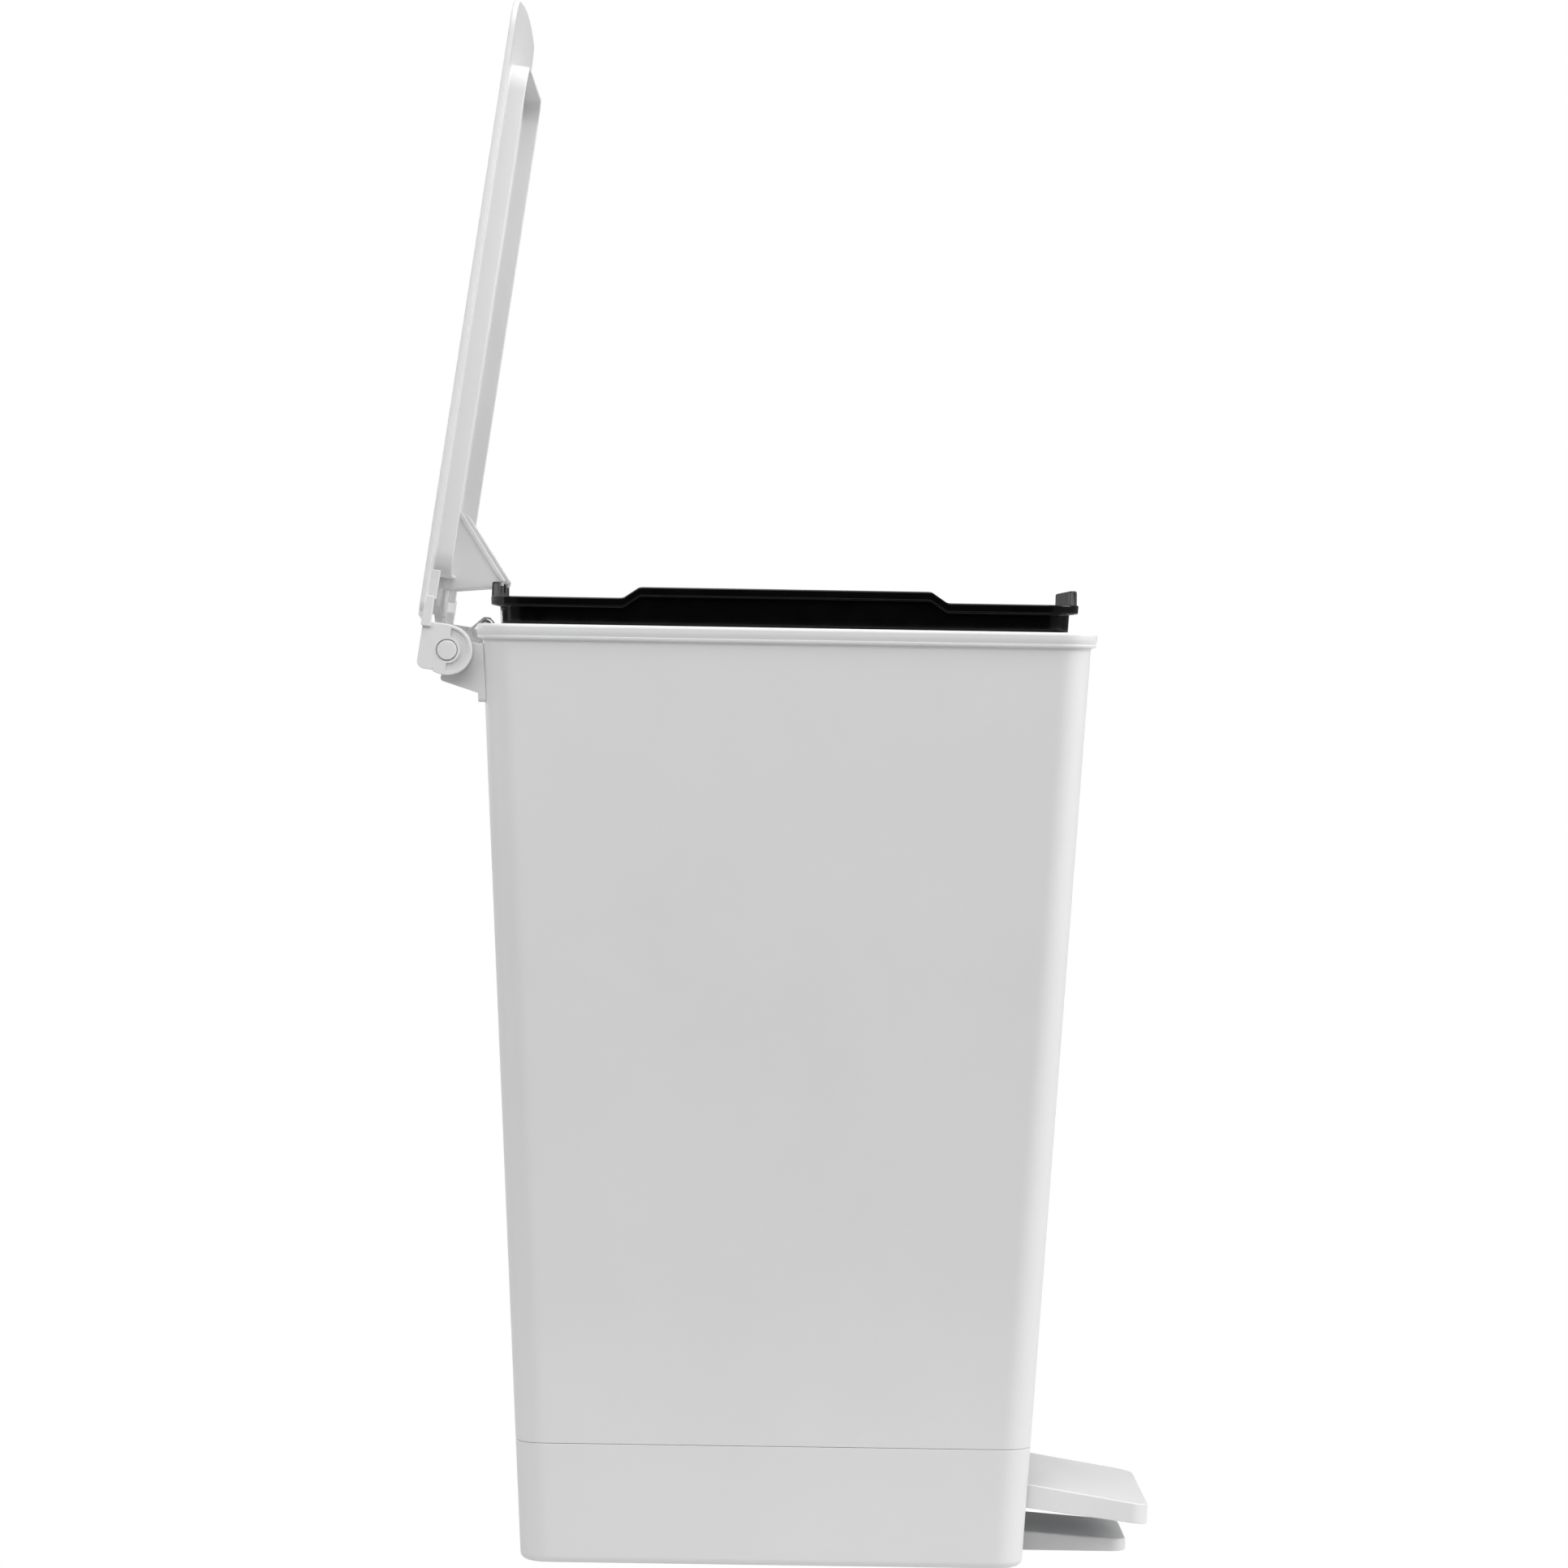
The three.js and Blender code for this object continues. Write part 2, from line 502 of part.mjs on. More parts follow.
// A knuckle with the shoulder that runs on from it past the rim's corner, and the arm inside the rim.
function lidKnuckle(side) {
  const [y0, y1] = onSide(side, KNUCKLE_Y);
  const eye = new THREE.Shape();
  eye.moveTo(17.5, 0);
  eye.lineTo(17.5, 18.4);
  eye.lineTo(19, LID_UNDER);
  eye.lineTo(32, LID_UNDER);
  eye.lineTo(32, LID_UNDER + LID_PLATE);
  eye.lineTo(21, LID_UNDER + LID_PLATE);
  eye.lineTo(16.5, LID_UNDER);
  eye.lineTo(-9, LID_UNDER);
  eye.quadraticCurveTo(-15, LID_UNDER, -15, 13);
  eye.lineTo(-15, 8);
  eye.absarc(0, 0, 17, Math.PI * 0.84, Math.PI * 1.5, false);
  eye.absarc(0, 0, 17.5, Math.PI * 1.52, Math.PI * 2, false);
  const arm = block(33, SKIRT_REAR + 4, ...onSide(side, ARM_Y), ARM_LOW, LID_UNDER + 1);
  const shoulder = block(14, 35, ...onSide(side, SHOULDER_Y), ARM_LOW, LID_UNDER + 1);
  const bore = barY(PIN_RADIUS + GAP, 0, 0, y0 - 1, y1 + 1, 16);
  const face = side > 0 ? [y1 - 1.9, y1 + 1] : [y0 - 1, y0 + 1.9];
  const rimCorner = loft([rimRing(RIM_FOOT - 10, -2 * GAP), rimRing(RIM_TOP, -2 * GAP)]);
  rimCorner.translate(-HINGE_X, 0, -HINGE_Z);
  const knuckle = join(plateXZ(eye, y0, y1), cut(shoulder, rimCorner), arm);
  return cut(knuckle, bore, barY(8, 0, 0, face[0], face[1], 24));
}

// The crank hangs through the notch in the rear wall, and the rod's bend slides in its slot.
function lidCrank() {
  const angle = -LID_SWING / 2;
  const along = (r, across) => [
    r * Math.cos(angle) - across * Math.sin(angle),
    r * Math.sin(angle) + across * Math.cos(angle),
  ];
  const slotHalf = ROD_RADIUS + 1.8;
  const edge = slotHalf + 1.8;
  const [inner, outer] = [19.6, 27.6];
  const blade = outline(
    [LID_REAR, LID_UNDER + 1], [7.8, 16.7], [2.1, 6.4], [2, -6], along(13, -edge),
    along(outer + 2, -edge), along(outer + edge - 1, -3), along(outer + edge - 1, 3),
    along(outer + 2, edge), along(13, edge), [11.8, 9.7], [18.3, 13.7], [28.3, 16.1], [28.3, LID_UNDER + 1],
  );
  const ends = [inner, outer].map((r) => barY(slotHalf, ...along(r, 0), -5, 5, 20));
  const slot = block(inner, outer, -5, 5, -slotHalf, slotHalf).rotateY(-angle);
  return cut(plateXZ(blade, -3, 3), ...ends, slot);
}

function lidGeometry() {
  const plate = plateXY(lidPlan(), LID_UNDER, LID_UNDER + LID_PLATE);
  const sides = SIDES.flatMap(([, side]) => [lidGusset(side), lidKnuckle(side)]);
  return join(plate, lidSkirt(), lidCrank(), ...sides);
}

// ---------- liner ----------
const HUMP_RISE = 7.6;
const HUMP_HALF_X = 100;
const HUMP_RAMP = 11;
const LIP_RISE = 10.5;
const LIP_HALF_Y = 79.5;
const LIP_X = [197.6, 203.2];
const LIP_NOTCHES = [[-53.8, -46.8], [-10.5, 10.5], [46.8, 53.8]]; // they pass the lid's gussets and crank

function linerRing(z, inset = 0) {
  const drop = TAPER * (LINER_TOP - z);
  return ring(z, LINER_HALF_X - drop - inset, LINER_HALF_Y - drop - inset, 16 - Math.max(inset, -6));
}

function linerGeometry() {
  const flangeFoot = LINER_TOP - LINER_FLANGE;
  const outer = loft([
    linerRing(LINER_BOTTOM, 3),
    linerRing(LINER_BOTTOM + 3),
    linerRing(flangeFoot),
    linerRing(flangeFoot, -6),
    linerRing(LINER_TOP, -6),
  ]);
  const ramp = outline(
    [-HUMP_HALF_X - HUMP_RAMP, LINER_TOP - 2], [HUMP_HALF_X + HUMP_RAMP, LINER_TOP - 2],
    [HUMP_HALF_X + HUMP_RAMP, LINER_TOP], [HUMP_HALF_X, LINER_TOP + HUMP_RISE],
    [-HUMP_HALF_X, LINER_TOP + HUMP_RISE], [-HUMP_HALF_X - HUMP_RAMP, LINER_TOP],
  );
  const humps = SIDES.map(([, side]) => (
    plateXZ(ramp, ...onSide(side, [LINER_HALF_Y - 1.5, LINER_HALF_Y + 6]))));
  const lips = [
    block(LIP_X[0], LIP_X[1], -LIP_HALF_Y, LIP_HALF_Y, flangeFoot, LINER_TOP + LIP_RISE),
    block(-LIP_X[1], -LIP_X[0], -LIP_HALF_Y, LIP_HALF_Y, flangeFoot, LINER_TOP + LIP_RISE),
  ];
  const notches = LIP_NOTCHES.map(([y0, y1]) => (
    block(-LIP_X[1] - 1, -LIP_X[0] + 1, y0, y1, LINER_TOP + 2.6, LINER_TOP + 20)));
  const inside = loft([
    linerRing(LINER_BOTTOM + LINER_WALL, LINER_WALL + 2),
    linerRing(LINER_BOTTOM + LINER_WALL + 3, LINER_WALL),
    linerRing(LINER_TOP + 20, LINER_WALL),
  ]);
  return cut(join(outer, ...humps, ...lips), inside, ...notches).translate(LINER_X, 0, 0);
}

// ---------- assembly ----------
const can = new THREE.Group();

can.add(pieceOf('body_shell', bodyShell(), white()));
can.add(pieceOf('base_shell', baseShell(), white()));
can.add(pieceOf('stabiliser_foot', stabiliserFoot(), white()));
can.add(pieceOf('liner', linerGeometry(), black()));
can.add(pieceOf('push_rod', pushRod(), steel()));
can.add(pieceOf('pedal_axle', barY(AXLE_RADIUS, LEVER_PIVOT_X, LEVER_PIVOT_Z, -50, 50, 20), steel()));
can.add(pieceOf('rod_clip_lower', ringY(ROD_RADIUS + GAP, 5, ROD_LOW_X, ROD_LOW_Z, 4.2, 5.8), steel()));
can.add(pieceOf('rod_clip_upper', ringY(ROD_RADIUS + GAP, 5, ROD_BEND_X, ROD_BEND_Z, 4.2, 5.8), steel()));

for (const [name, x, y] of FOOT_PADS) {
  can.add(pieceOf(`foot_pad_${name}`, footPad(x, y), rubber()));
}

for (const [name, side] of SIDES) {
  const clipY = onSide(side, [46.2, 47.6]);
  can.add(pieceOf(`axle_saddle_${name}`, axleSaddle(side), grey()));
  can.add(pieceOf(`axle_clip_${name}`,
    ringY(AXLE_RADIUS + GAP, 7, LEVER_PIVOT_X, LEVER_PIVOT_Z, ...clipY), steel()));
  can.add(pieceOf(`hinge_bracket_${name}`, hingeBracket(side), white()));
  can.add(pieceOf(`hinge_pin_${name}`, hingePin(side), white()));
  can.add(pieceOf(`foot_screw_${name}`,
    screwZ(FOOT_SCREW_X, side * FOOT_SCREW_Y, BASE_TOP + 4, FLOOR_RISE + 0.4), steel()));
  for (const [level, z] of [['lower', BRACKET_SCREW_Z[0]], ['upper', BRACKET_SCREW_Z[1]]]) {
    can.add(pieceOf(`bracket_screw_${name}_${level}`, bracketScrew(side, z), steel()));
  }
}

saddleScrewPlaces().forEach(([x, y], i) => {
  can.add(pieceOf(`saddle_screw_${i + 1}`, screwZ(x, y, BASE_TOP + 4.3, FLOOR_RISE + 0.4), steel()));
});

CASE_SCREWS.forEach(([x, y], i) => {
  can.add(pieceOf(`case_screw_${i + 1}`, screwZ(x, y, SEAM - 9 - GAP, BODY_FLOOR - 2), steel()));
});

for (const [name, z] of GUIDES) {
  const frame = rearWallFrame();
  const guide = pieceOf(`rod_guide_${name}`, rodGuide(), grey());
  guide.position.z = z;
  frame.add(guide);
  can.add(frame);
}

const pedal = new THREE.Group();
pedal.position.set(LEVER_PIVOT_X, 0, LEVER_PIVOT_Z);
pedal.rotation.y = PEDAL_TILT;
pedal.add(pieceOf('pedal_lever', pedalLever(), steel()));
pedal.add(pieceOf('pedal_tread', pedalTread(), white()));
for (const [name, side] of SIDES) {
  const head = TREAD_TOP - TREAD_SKIN - GAP - 3 - GAP;
  pedal.add(pieceOf(`tread_screw_${name}`, screwZ(150, side * 38, head, head + 3), steel()));
}
can.add(pedal);

const lid = new THREE.Group();
lid.position.set(HINGE_X, 0, HINGE_Z);
lid.rotation.y = -LID_SWING;
lid.add(pieceOf('lid', lidGeometry(), white()));
can.add(lid);

export default can;
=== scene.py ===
"""Step-on trash can with a lift-out liner: the visual model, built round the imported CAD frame.

Shapes are drawn in millimetres in the CAD's own frame: +X towards the pedal, +Z up, origin on the
floor under the base. At rest the pedal is held down, the lid is open and the liner is raised.
"""

import json
import math

import bmesh
import bpy
from mathutils import Matrix, Vector


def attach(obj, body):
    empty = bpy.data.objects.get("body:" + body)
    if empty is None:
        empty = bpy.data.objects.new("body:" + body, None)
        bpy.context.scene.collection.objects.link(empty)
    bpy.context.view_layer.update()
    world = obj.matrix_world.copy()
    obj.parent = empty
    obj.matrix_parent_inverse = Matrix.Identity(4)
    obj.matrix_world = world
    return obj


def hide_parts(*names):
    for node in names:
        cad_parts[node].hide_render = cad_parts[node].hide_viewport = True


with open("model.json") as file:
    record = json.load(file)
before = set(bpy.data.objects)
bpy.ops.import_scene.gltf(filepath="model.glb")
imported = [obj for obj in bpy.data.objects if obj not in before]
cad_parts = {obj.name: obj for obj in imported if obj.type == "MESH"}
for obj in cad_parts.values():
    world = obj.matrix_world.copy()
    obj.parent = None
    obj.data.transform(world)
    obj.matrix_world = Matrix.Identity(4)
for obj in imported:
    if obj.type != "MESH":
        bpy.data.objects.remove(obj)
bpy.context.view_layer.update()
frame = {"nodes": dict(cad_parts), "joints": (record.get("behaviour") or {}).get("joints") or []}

MM = 0.001

# ---------- driving dimensions, as in the CAD source ----------
GAP = 0.3
TAPER = 0.0543  # how far each wall leans in, per millimetre down
WALL = 3.0
CORNER = 20.0
FLOOR_RISE = 1.2
SEAM = 85.0
SEAM_GAP = 0.12  # the body's lip and the base's top each stand this far from the seam
RIM_TOP = 650.0
RIM_FOOT = 637.0
RIM_HALF_X = 213.0
RIM_HALF_Y = 145.0
RIM_LIP = 4.3
BODY_FLOOR = 96.0
BASE_SOLE = 3.0
BASE_TOP = FLOOR_RISE + BASE_SOLE
NOTCH_HALF_Y = 13.0  # of the notches that the crank and the push rod pass through
NOTCH_DROP = 58.0  # from the rim's top to the foot of the crank's notch
WALL_HALF_X = RIM_HALF_X - RIM_LIP
WALL_HALF_Y = RIM_HALF_Y - RIM_LIP
LEAN = math.atan(TAPER)

JOINTS = {joint["name"]: joint for joint in frame["joints"]}
HINGE_X, _, HINGE_Z = (value / MM for value in JOINTS["lid_hinge"]["pos_m"])
LID_SWING = math.radians(JOINTS["lid_hinge"]["range_deg"][1])
PIN_RADIUS = 3.0
PIN_SEAT_RADIUS = 7.5
KNUCKLE_RADIUS = 17.2
EAR_RADIUS = 11.0

LID_UNDER = 19.1
LID_PLATE = 3.9
LID_REAR = 22.5
LID_FRONT = 445.5
LID_BULGE = 5.5
LID_CORNER = 21.0
SKIRT_DEPTH = 12.5
SKIRT_REAR = 49.0
SKIRT_FRONT = 404.5
SKIRT_HALF_Y = 118.0
ARM_LOW = 13.4

ROD_RADIUS = 2.5
ROD_PLANE = -8.0
ROD_INSET = 3.4
CRANK_RADIUS = 26.5
ROD_LOW_X = -158.0

PIVOT_X, _, PIVOT_Z = (value / MM for value in JOINTS["pedal_pivot"]["pos_m"])
PEDAL_TILT = math.radians(9.3)  # how far the pedal is pressed down at rest
TREAD_HALF_Y = 79.0
TREAD_TOP = 27.6
TREAD_REAR = 84.0
TREAD_NOSE = 203.0
TREAD_SKIN = 2.6

LINER_TOP = 668.8
LINER_X = -1.6  # the liner's middle
LINER_HALF_X = 196.1
LINER_HALF_Y = 127.0
LINER_WALL = 2.2
LINER_FLANGE = 6.0
LINER_BOTTOM = 131.0
HUMP_RISE = 7.6
HUMP_HALF_X = 100.0
HUMP_RAMP = 11.0
LIP_RISE = 10.5
LIP_HALF_Y = 79.5
LIP_X = (197.6, 203.2)
LIP_NOTCHES = ((-53.8, -46.8), (-10.5, 10.5), (46.8, 53.8))  # for the gussets and the crank

EAR_Y = (113.0, 126.5)
KNUCKLE_Y = (127.0, 141.0)
ARM_Y = (119.0, 126.0)
SHOULDER_Y = (138.5, 144.5)
BRACKET_SCREW_Y = 98.0
BRACKET_Z = 614.0
BRACKET_SCREW_Z = (BRACKET_Z - 9, BRACKET_Z + 7)
GUSSET_Y = (49.0, 51.6)
FOOT_HALF_Y = 44.0
CASE_SCREW_X, CASE_SCREW_Y = 138.0, 86.0
FOOT_SCREW_X, FOOT_SCREW_Y = 140.0, 34.0
PAD_X, PAD_Y = 152.0, 66.0
SADDLE_SCREW_X, SADDLE_SCREW_Y = 16.0, 39.5
TREAD_SCREW_X, TREAD_SCREW_Y = 150.0, 38.0
BORE = 2.2  # the radius of a hole that a screw's shank passes through
THREAD_BORE = 2.1
SIDES = (("left", 1), ("right", -1))
QUADRANTS = ((1, 1), (-1, 1), (-1, -1), (1, -1))

CORNER_STEPS = 16
HOLD = 0.8  # a point this far past each tangent keeps the flat sides flat in shading

LID_PLACE = Matrix.Translation((HINGE_X * MM, 0, HINGE_Z * MM)) @ Matrix.Rotation(-LID_SWING, 4, "Y")
PEDAL_PLACE = Matrix.Translation((PIVOT_X * MM, 0, PIVOT_Z * MM)) @ Matrix.Rotation(PEDAL_TILT, 4, "Y")


# ---------- outlines and rings, in millimetres ----------
def on_side(side, near, far):
    return (near, far) if side > 0 else (-far, -near)


def ring(height, half_x, half_y, radius, along_x=(), along_y=()):
    """A rounded rectangle in plan, counterclockwise. height is a number, or a function of x and y."""
    points = []
    hold_x = half_x - radius - HOLD
    hold_y = half_y - radius - HOLD
    xs = [-hold_x, *along_x, hold_x]
    ys = [-hold_y, *along_y, hold_y]
    runs = (
        [(x, half_y) for x in reversed(xs)],
        [(-half_x, y) for y in reversed(ys)],
        [(x, -half_y) for x in xs],
        [(half_x, y) for y in ys],
    )
    for corner, (sign_x, sign_y) in enumerate(QUADRANTS):
        centre_x = sign_x * (half_x - radius)
        centre_y = sign_y * (half_y - radius)
        for step in range(CORNER_STEPS + 1):
            angle = (corner + step / CORNER_STEPS) * math.pi / 2
            points.append((centre_x + radius * math.cos(angle), centre_y + radius * math.sin(angle)))
        points += runs[corner]
    at = height if callable(height) else lambda x, y: height
    return [(x, y, at(x, y)) for x, y in points]


def wall_half(half, z):
    return half - TAPER * (RIM_FOOT - z)


def wall_ring(z, out=0.0):
    """The leaning wall's outline at a height, moved out by some distance."""
    return ring(z, wall_half(WALL_HALF_X, z) + out, wall_half(WALL_HALF_Y, z) + out, CORNER + out)


def rim_ring(z, inset=0.0):
    return ring(z, RIM_HALF_X - inset, RIM_HALF_Y - inset, CORNER + RIM_LIP - inset)


def arc(centre_u, centre_v, radius, start, end, steps=6):
    """Points on an arc, angles in degrees."""
    angles = [math.radians(start + (end - start) * step / steps) for step in range(steps + 1)]
    return [(centre_u + radius * math.cos(a), centre_v + radius * math.sin(a)) for a in angles]


def rounded(*corners, finest=9.0):
    """An outline through (u, v, radius) corners, each rounded to its radius."""
    points = []
    for index, (u, v, radius) in enumerate(corners):
        here = Vector((u, v))
        if radius <= 0:
            points.append((u, v))
            continue
        before = Vector(corners[index - 1][:2]) - here
        after = Vector(corners[(index + 1) % len(corners)][:2]) - here
        half = before.angle(after) / 2
        reach = min(radius / math.tan(half), before.length * 0.49, after.length * 0.49)
        radius = reach * math.tan(half)
        centre = here + (before.normalized() + after.normalized()).normalized() * (radius / math.sin(half))
        start = here + before.normalized() * reach - centre
        end = here + after.normalized() * reach - centre
        turn = start.angle_signed(end)
        steps = max(2, math.ceil(abs(math.degrees(turn)) / finest))
        for step in range(steps + 1):
            swung = Matrix.Rotation(-turn * step / steps, 2) @ start
            points.append(tuple(centre + swung))
    return points


def along_line(value, points):
    """A height read off straight lines between (position, height) points."""
    if value <= points[0][0]:
        return points[0][1]
    for (a, low), (b, high) in zip(points, points[1:]):
        if value <= b:
            return low + (high - low) * (value - a) / (b - a)
    return points[-1][1]


def inset_outline(points, distance):
    """The outline moved inwards by a distance."""
    if distance == 0:
        return list(points)
    count = len(points)
    area = sum(points[i - 1][0] * points[i][1] - points[i][0] * points[i - 1][1] for i in range(count))
    inward = distance if area > 0 else -distance
    moved = []
    for i in range(count):
        here = Vector(points[i])
        incoming = (here - Vector(points[i - 1])).normalized()
        outgoing = (Vector(points[(i + 1) % count]) - here).normalized()
        first = Vector((-incoming.y, incoming.x))
        second = Vector((-outgoing.y, outgoing.x))
        moved.append(tuple(here + (first + second) * (inward / (1 + first.dot(second)))))
    return moved


# ---------- meshes ----------
def surface(rings, closed=False):
    """A closed surface through a stack of rings, capped at both ends or joined end to end."""
    bm = bmesh.new()
    levels = [[bm.verts.new(Vector(point) * MM) for point in points] for points in rings]
    pairs = list(zip(levels, levels[1:]))
    if closed:
        pairs.append((levels[-1], levels[0]))
    else:
        bm.faces.new(levels[0][::-1])
        bm.faces.new(levels[-1])
    count = len(rings[0])
    for low, high in pairs:
        for i in range(count):
            j = (i + 1) % count
            bm.faces.new((low[i], low[j], high[j], high[i]))
    bmesh.ops.recalc_face_normals(bm, faces=bm.faces)
    return bm


def thing(bm, place=None):
    """A loose object made from a bmesh."""
    if place is not None:
        bmesh.ops.transform(bm, matrix=place, verts=bm.verts)
    mesh = bpy.data.meshes.new("shape")
    bm.to_mesh(mesh)
    bm.free()
    obj = bpy.data.objects.new("shape", mesh)
    bpy.context.scene.collection.objects.link(obj)
    return obj


AXES = {
    "X": lambda u, v, w: (w, u, v),
    "Y": lambda u, v, w: (u, w, v),
    "Z": lambda u, v, w: (u, v, w),
}


def prism(outline, axis, low, high, edge=0.0, low_edge=None, place=None):
    """An outline given thickness along an axis, its edges rounded. The outline is in the other two axes."""
    low_edge = edge if low_edge is None else low_edge
    steps = 4
    levels = []
    for radius, face, sign in ((low_edge, low, 1), (edge, high, -1)):
        if radius == 0:
            turn = [(0.0, face)]
        else:
            angles = [math.pi / 2 * step / steps for step in range(steps + 1)]
            turn = [(radius * (1 - math.sin(a)), face + sign * radius * (1 - math.cos(a))) for a in angles]
        levels += turn if sign > 0 else turn[::-1]
    at = AXES[axis]
    rings = [[at(u, v, w) for u, v in inset_outline(outline, inset)] for inset, w in levels]
    return thing(surface(rings), place)


def block(x0, x1, y0, y1, z0, z1, corner=0.0, axis="Z", edge=0.0, place=None):
    """A box whose four edges along one axis are rounded by corner, and the others by edge."""
    spans = {"X": (y0, y1, z0, z1, x0, x1), "Y": (x0, x1, z0, z1, y0, y1), "Z": (x0, x1, y0, y1, z0, z1)}
    u0, u1, v0, v1, low, high = spans[axis]
    outline = rounded((u0, v0, corner), (u1, v0, corner), (u1, v1, corner), (u0, v1, corner))
    return prism(outline, axis, low, high, edge, place=place)


def wedge(plan, bottom, top, edge, low_edge, lean=lambda x, y, z: (x, y, z)):
    """A solid over a plan outline, with rounded edges.

    bottom and top are (x, height) points, and lean moves each point of the result.
    """
    steps = 5
    rings = []
    for radius, line, sign in ((low_edge, bottom, 1), (edge, top, -1)):
        level = []
        for step in range(steps + 1):
            angle = math.pi / 2 * step / steps
            drop = radius * (1 - math.cos(angle))
            points = inset_outline(plan, radius * (1 - math.sin(angle)))
            level.append([lean(x, y, along_line(x, line) + sign * drop) for x, y in points])
        rings += level if sign > 0 else level[::-1]
    return thing(surface(rings))


def lathe(profile, axis, centre_u, centre_v, steps=48):
    """A round piece about an axis, through (radius, height) pairs from one end to the other."""
    at = AXES[axis]
    angles = [2 * math.pi * step / steps for step in range(steps)]
    rings = [
        [at(centre_u + r * math.cos(a), centre_v + r * math.sin(a), h) for a in angles]
        for r, h in profile
    ]
    return thing(surface(rings))


def cylinder(radius, axis, centre_u, centre_v, low, high, steps=32):
    return lathe([(radius, low), (radius, high)], axis, centre_u, centre_v, steps)


def combine(base, tools, operation):
    """base with the tools cut away or joined on. The tools are used up."""
    for tool in tools:
        change = base.modifiers.new("change", "BOOLEAN")
        change.solver = "MANIFOLD"
        change.operation = operation
        change.object = tool
    graph = bpy.context.evaluated_depsgraph_get()
    mesh = bpy.data.meshes.new_from_object(base.evaluated_get(graph))
    base.modifiers.clear()
    spent = [base.data, *(tool.data for tool in tools)]
    base.data = mesh
    for tool in tools:
        bpy.data.objects.remove(tool)
    for data in spent:
        bpy.data.meshes.remove(data)
    return base


def cut(base, *tools):
    return combine(base, tools, "DIFFERENCE")


def join(base, *tools):
    return combine(base, tools, "UNION")


def smooth(obj, crease=32.0):
    """Soft shading with crisp edges, and flat faces kept flat."""
    obj.data.shade_smooth()
    obj.data.set_sharp_from_angle(angle=math.radians(crease))
    weigh = obj.modifiers.new("even normals", "WEIGHTED_NORMAL")
    weigh.keep_sharp = True
    weigh.weight = 60


def piece(obj, name, body, slot, *nodes):
    """Names a finished object and puts it on its body, in place of its CAD nodes."""
    obj.name = name
    obj.data.name = name
    smooth(obj)
    obj.data.materials.clear()
    obj.data.materials.append(FINISHES[slot])
    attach(obj, body)
    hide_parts(*nodes)
    return obj


# ---------- materials ----------
def material(name):
    made = bpy.data.materials.new(name)
    made.use_nodes = True
    tree = made.node_tree
    shader = tree.nodes["Principled BSDF"]
    where = tree.nodes.new("ShaderNodeTexCoord").outputs["Object"]
    return made, tree, shader, where


def noise(tree, where, scale, detail=3.0, stretch=(1, 1, 1)):
    """A noise value over the object, its scale in cycles per metre."""
    mapping = tree.nodes.new("ShaderNodeMapping")
    mapping.inputs["Scale"].default_value = stretch
    tree.links.new(where, mapping.inputs["Vector"])
    texture = tree.nodes.new("ShaderNodeTexNoise")
    texture.inputs["Scale"].default_value = scale
    texture.inputs["Detail"].default_value = detail
    tree.links.new(mapping.outputs["Vector"], texture.inputs["Vector"])
    return texture.outputs["Fac"]


def spread(tree, value, low, high):
    """Maps the middle of a noise value to a range."""
    node = tree.nodes.new("ShaderNodeMapRange")
    node.inputs["From Min"].default_value = 0.3
    node.inputs["From Max"].default_value = 0.7
    node.inputs["To Min"].default_value = low
    node.inputs["To Max"].default_value = high
    tree.links.new(value, node.inputs["Value"])
    return node.outputs["Result"]


def tint(tree, value, dark, light):
    """Maps the middle of a noise value to a colour between two."""
    node = tree.nodes.new("ShaderNodeValToRGB")
    node.color_ramp.elements[0].position = 0.3
    node.color_ramp.elements[0].color = (*dark, 1)
    node.color_ramp.elements[1].position = 0.7
    node.color_ramp.elements[1].color = (*light, 1)
    tree.links.new(value, node.inputs["Fac"])
    return node.outputs["Color"]


def bumps(tree, shader, layers):
    """Relief from (noise value, height in metres) layers, one over the other."""
    below = None
    for value, height in layers:
        node = tree.nodes.new("ShaderNodeBump")
        node.inputs["Distance"].default_value = height
        tree.links.new(value, node.inputs["Height"])
        if below is not None:
            tree.links.new(below, node.inputs["Normal"])
        below = node.outputs["Normal"]
    tree.links.new(below, shader.inputs["Normal"])


def moulded_plastic(name, dark, light, rough, specular, grain, wave):
    """Injection-moulded plastic: a fine spark-eroded grain, faint flow marks and a slow waviness.

    dark and light are colours, rough is a range, and grain and wave are heights in metres.
    """
    made, tree, shader, where = material(name)
    tree.links.new(tint(tree, noise(tree, where, 7), dark, light), shader.inputs["Base Color"])
    tree.links.new(spread(tree, noise(tree, where, 55, 5), *rough), shader.inputs["Roughness"])
    shader.inputs["Specular IOR Level"].default_value = specular
    bumps(tree, shader, [(noise(tree, where, 9, 1), wave), (noise(tree, where, 2600, 2), grain)])
    return made


def zinc():
    """Zinc plate on steel: a fine brushed grain with cloudy patches."""
    made, tree, shader, where = material("zinc_plated_steel")
    cloud = noise(tree, where, 90, 4)
    tree.links.new(tint(tree, cloud, (0.5, 0.51, 0.53), (0.66, 0.67, 0.68)), shader.inputs["Base Color"])
    brushed = noise(tree, where, 1500, 3, (0.04, 1, 1))
    tree.links.new(spread(tree, brushed, 0.26, 0.42), shader.inputs["Roughness"])
    shader.inputs["Metallic"].default_value = 1.0
    bumps(tree, shader, [(brushed, 0.00002)])
    return made


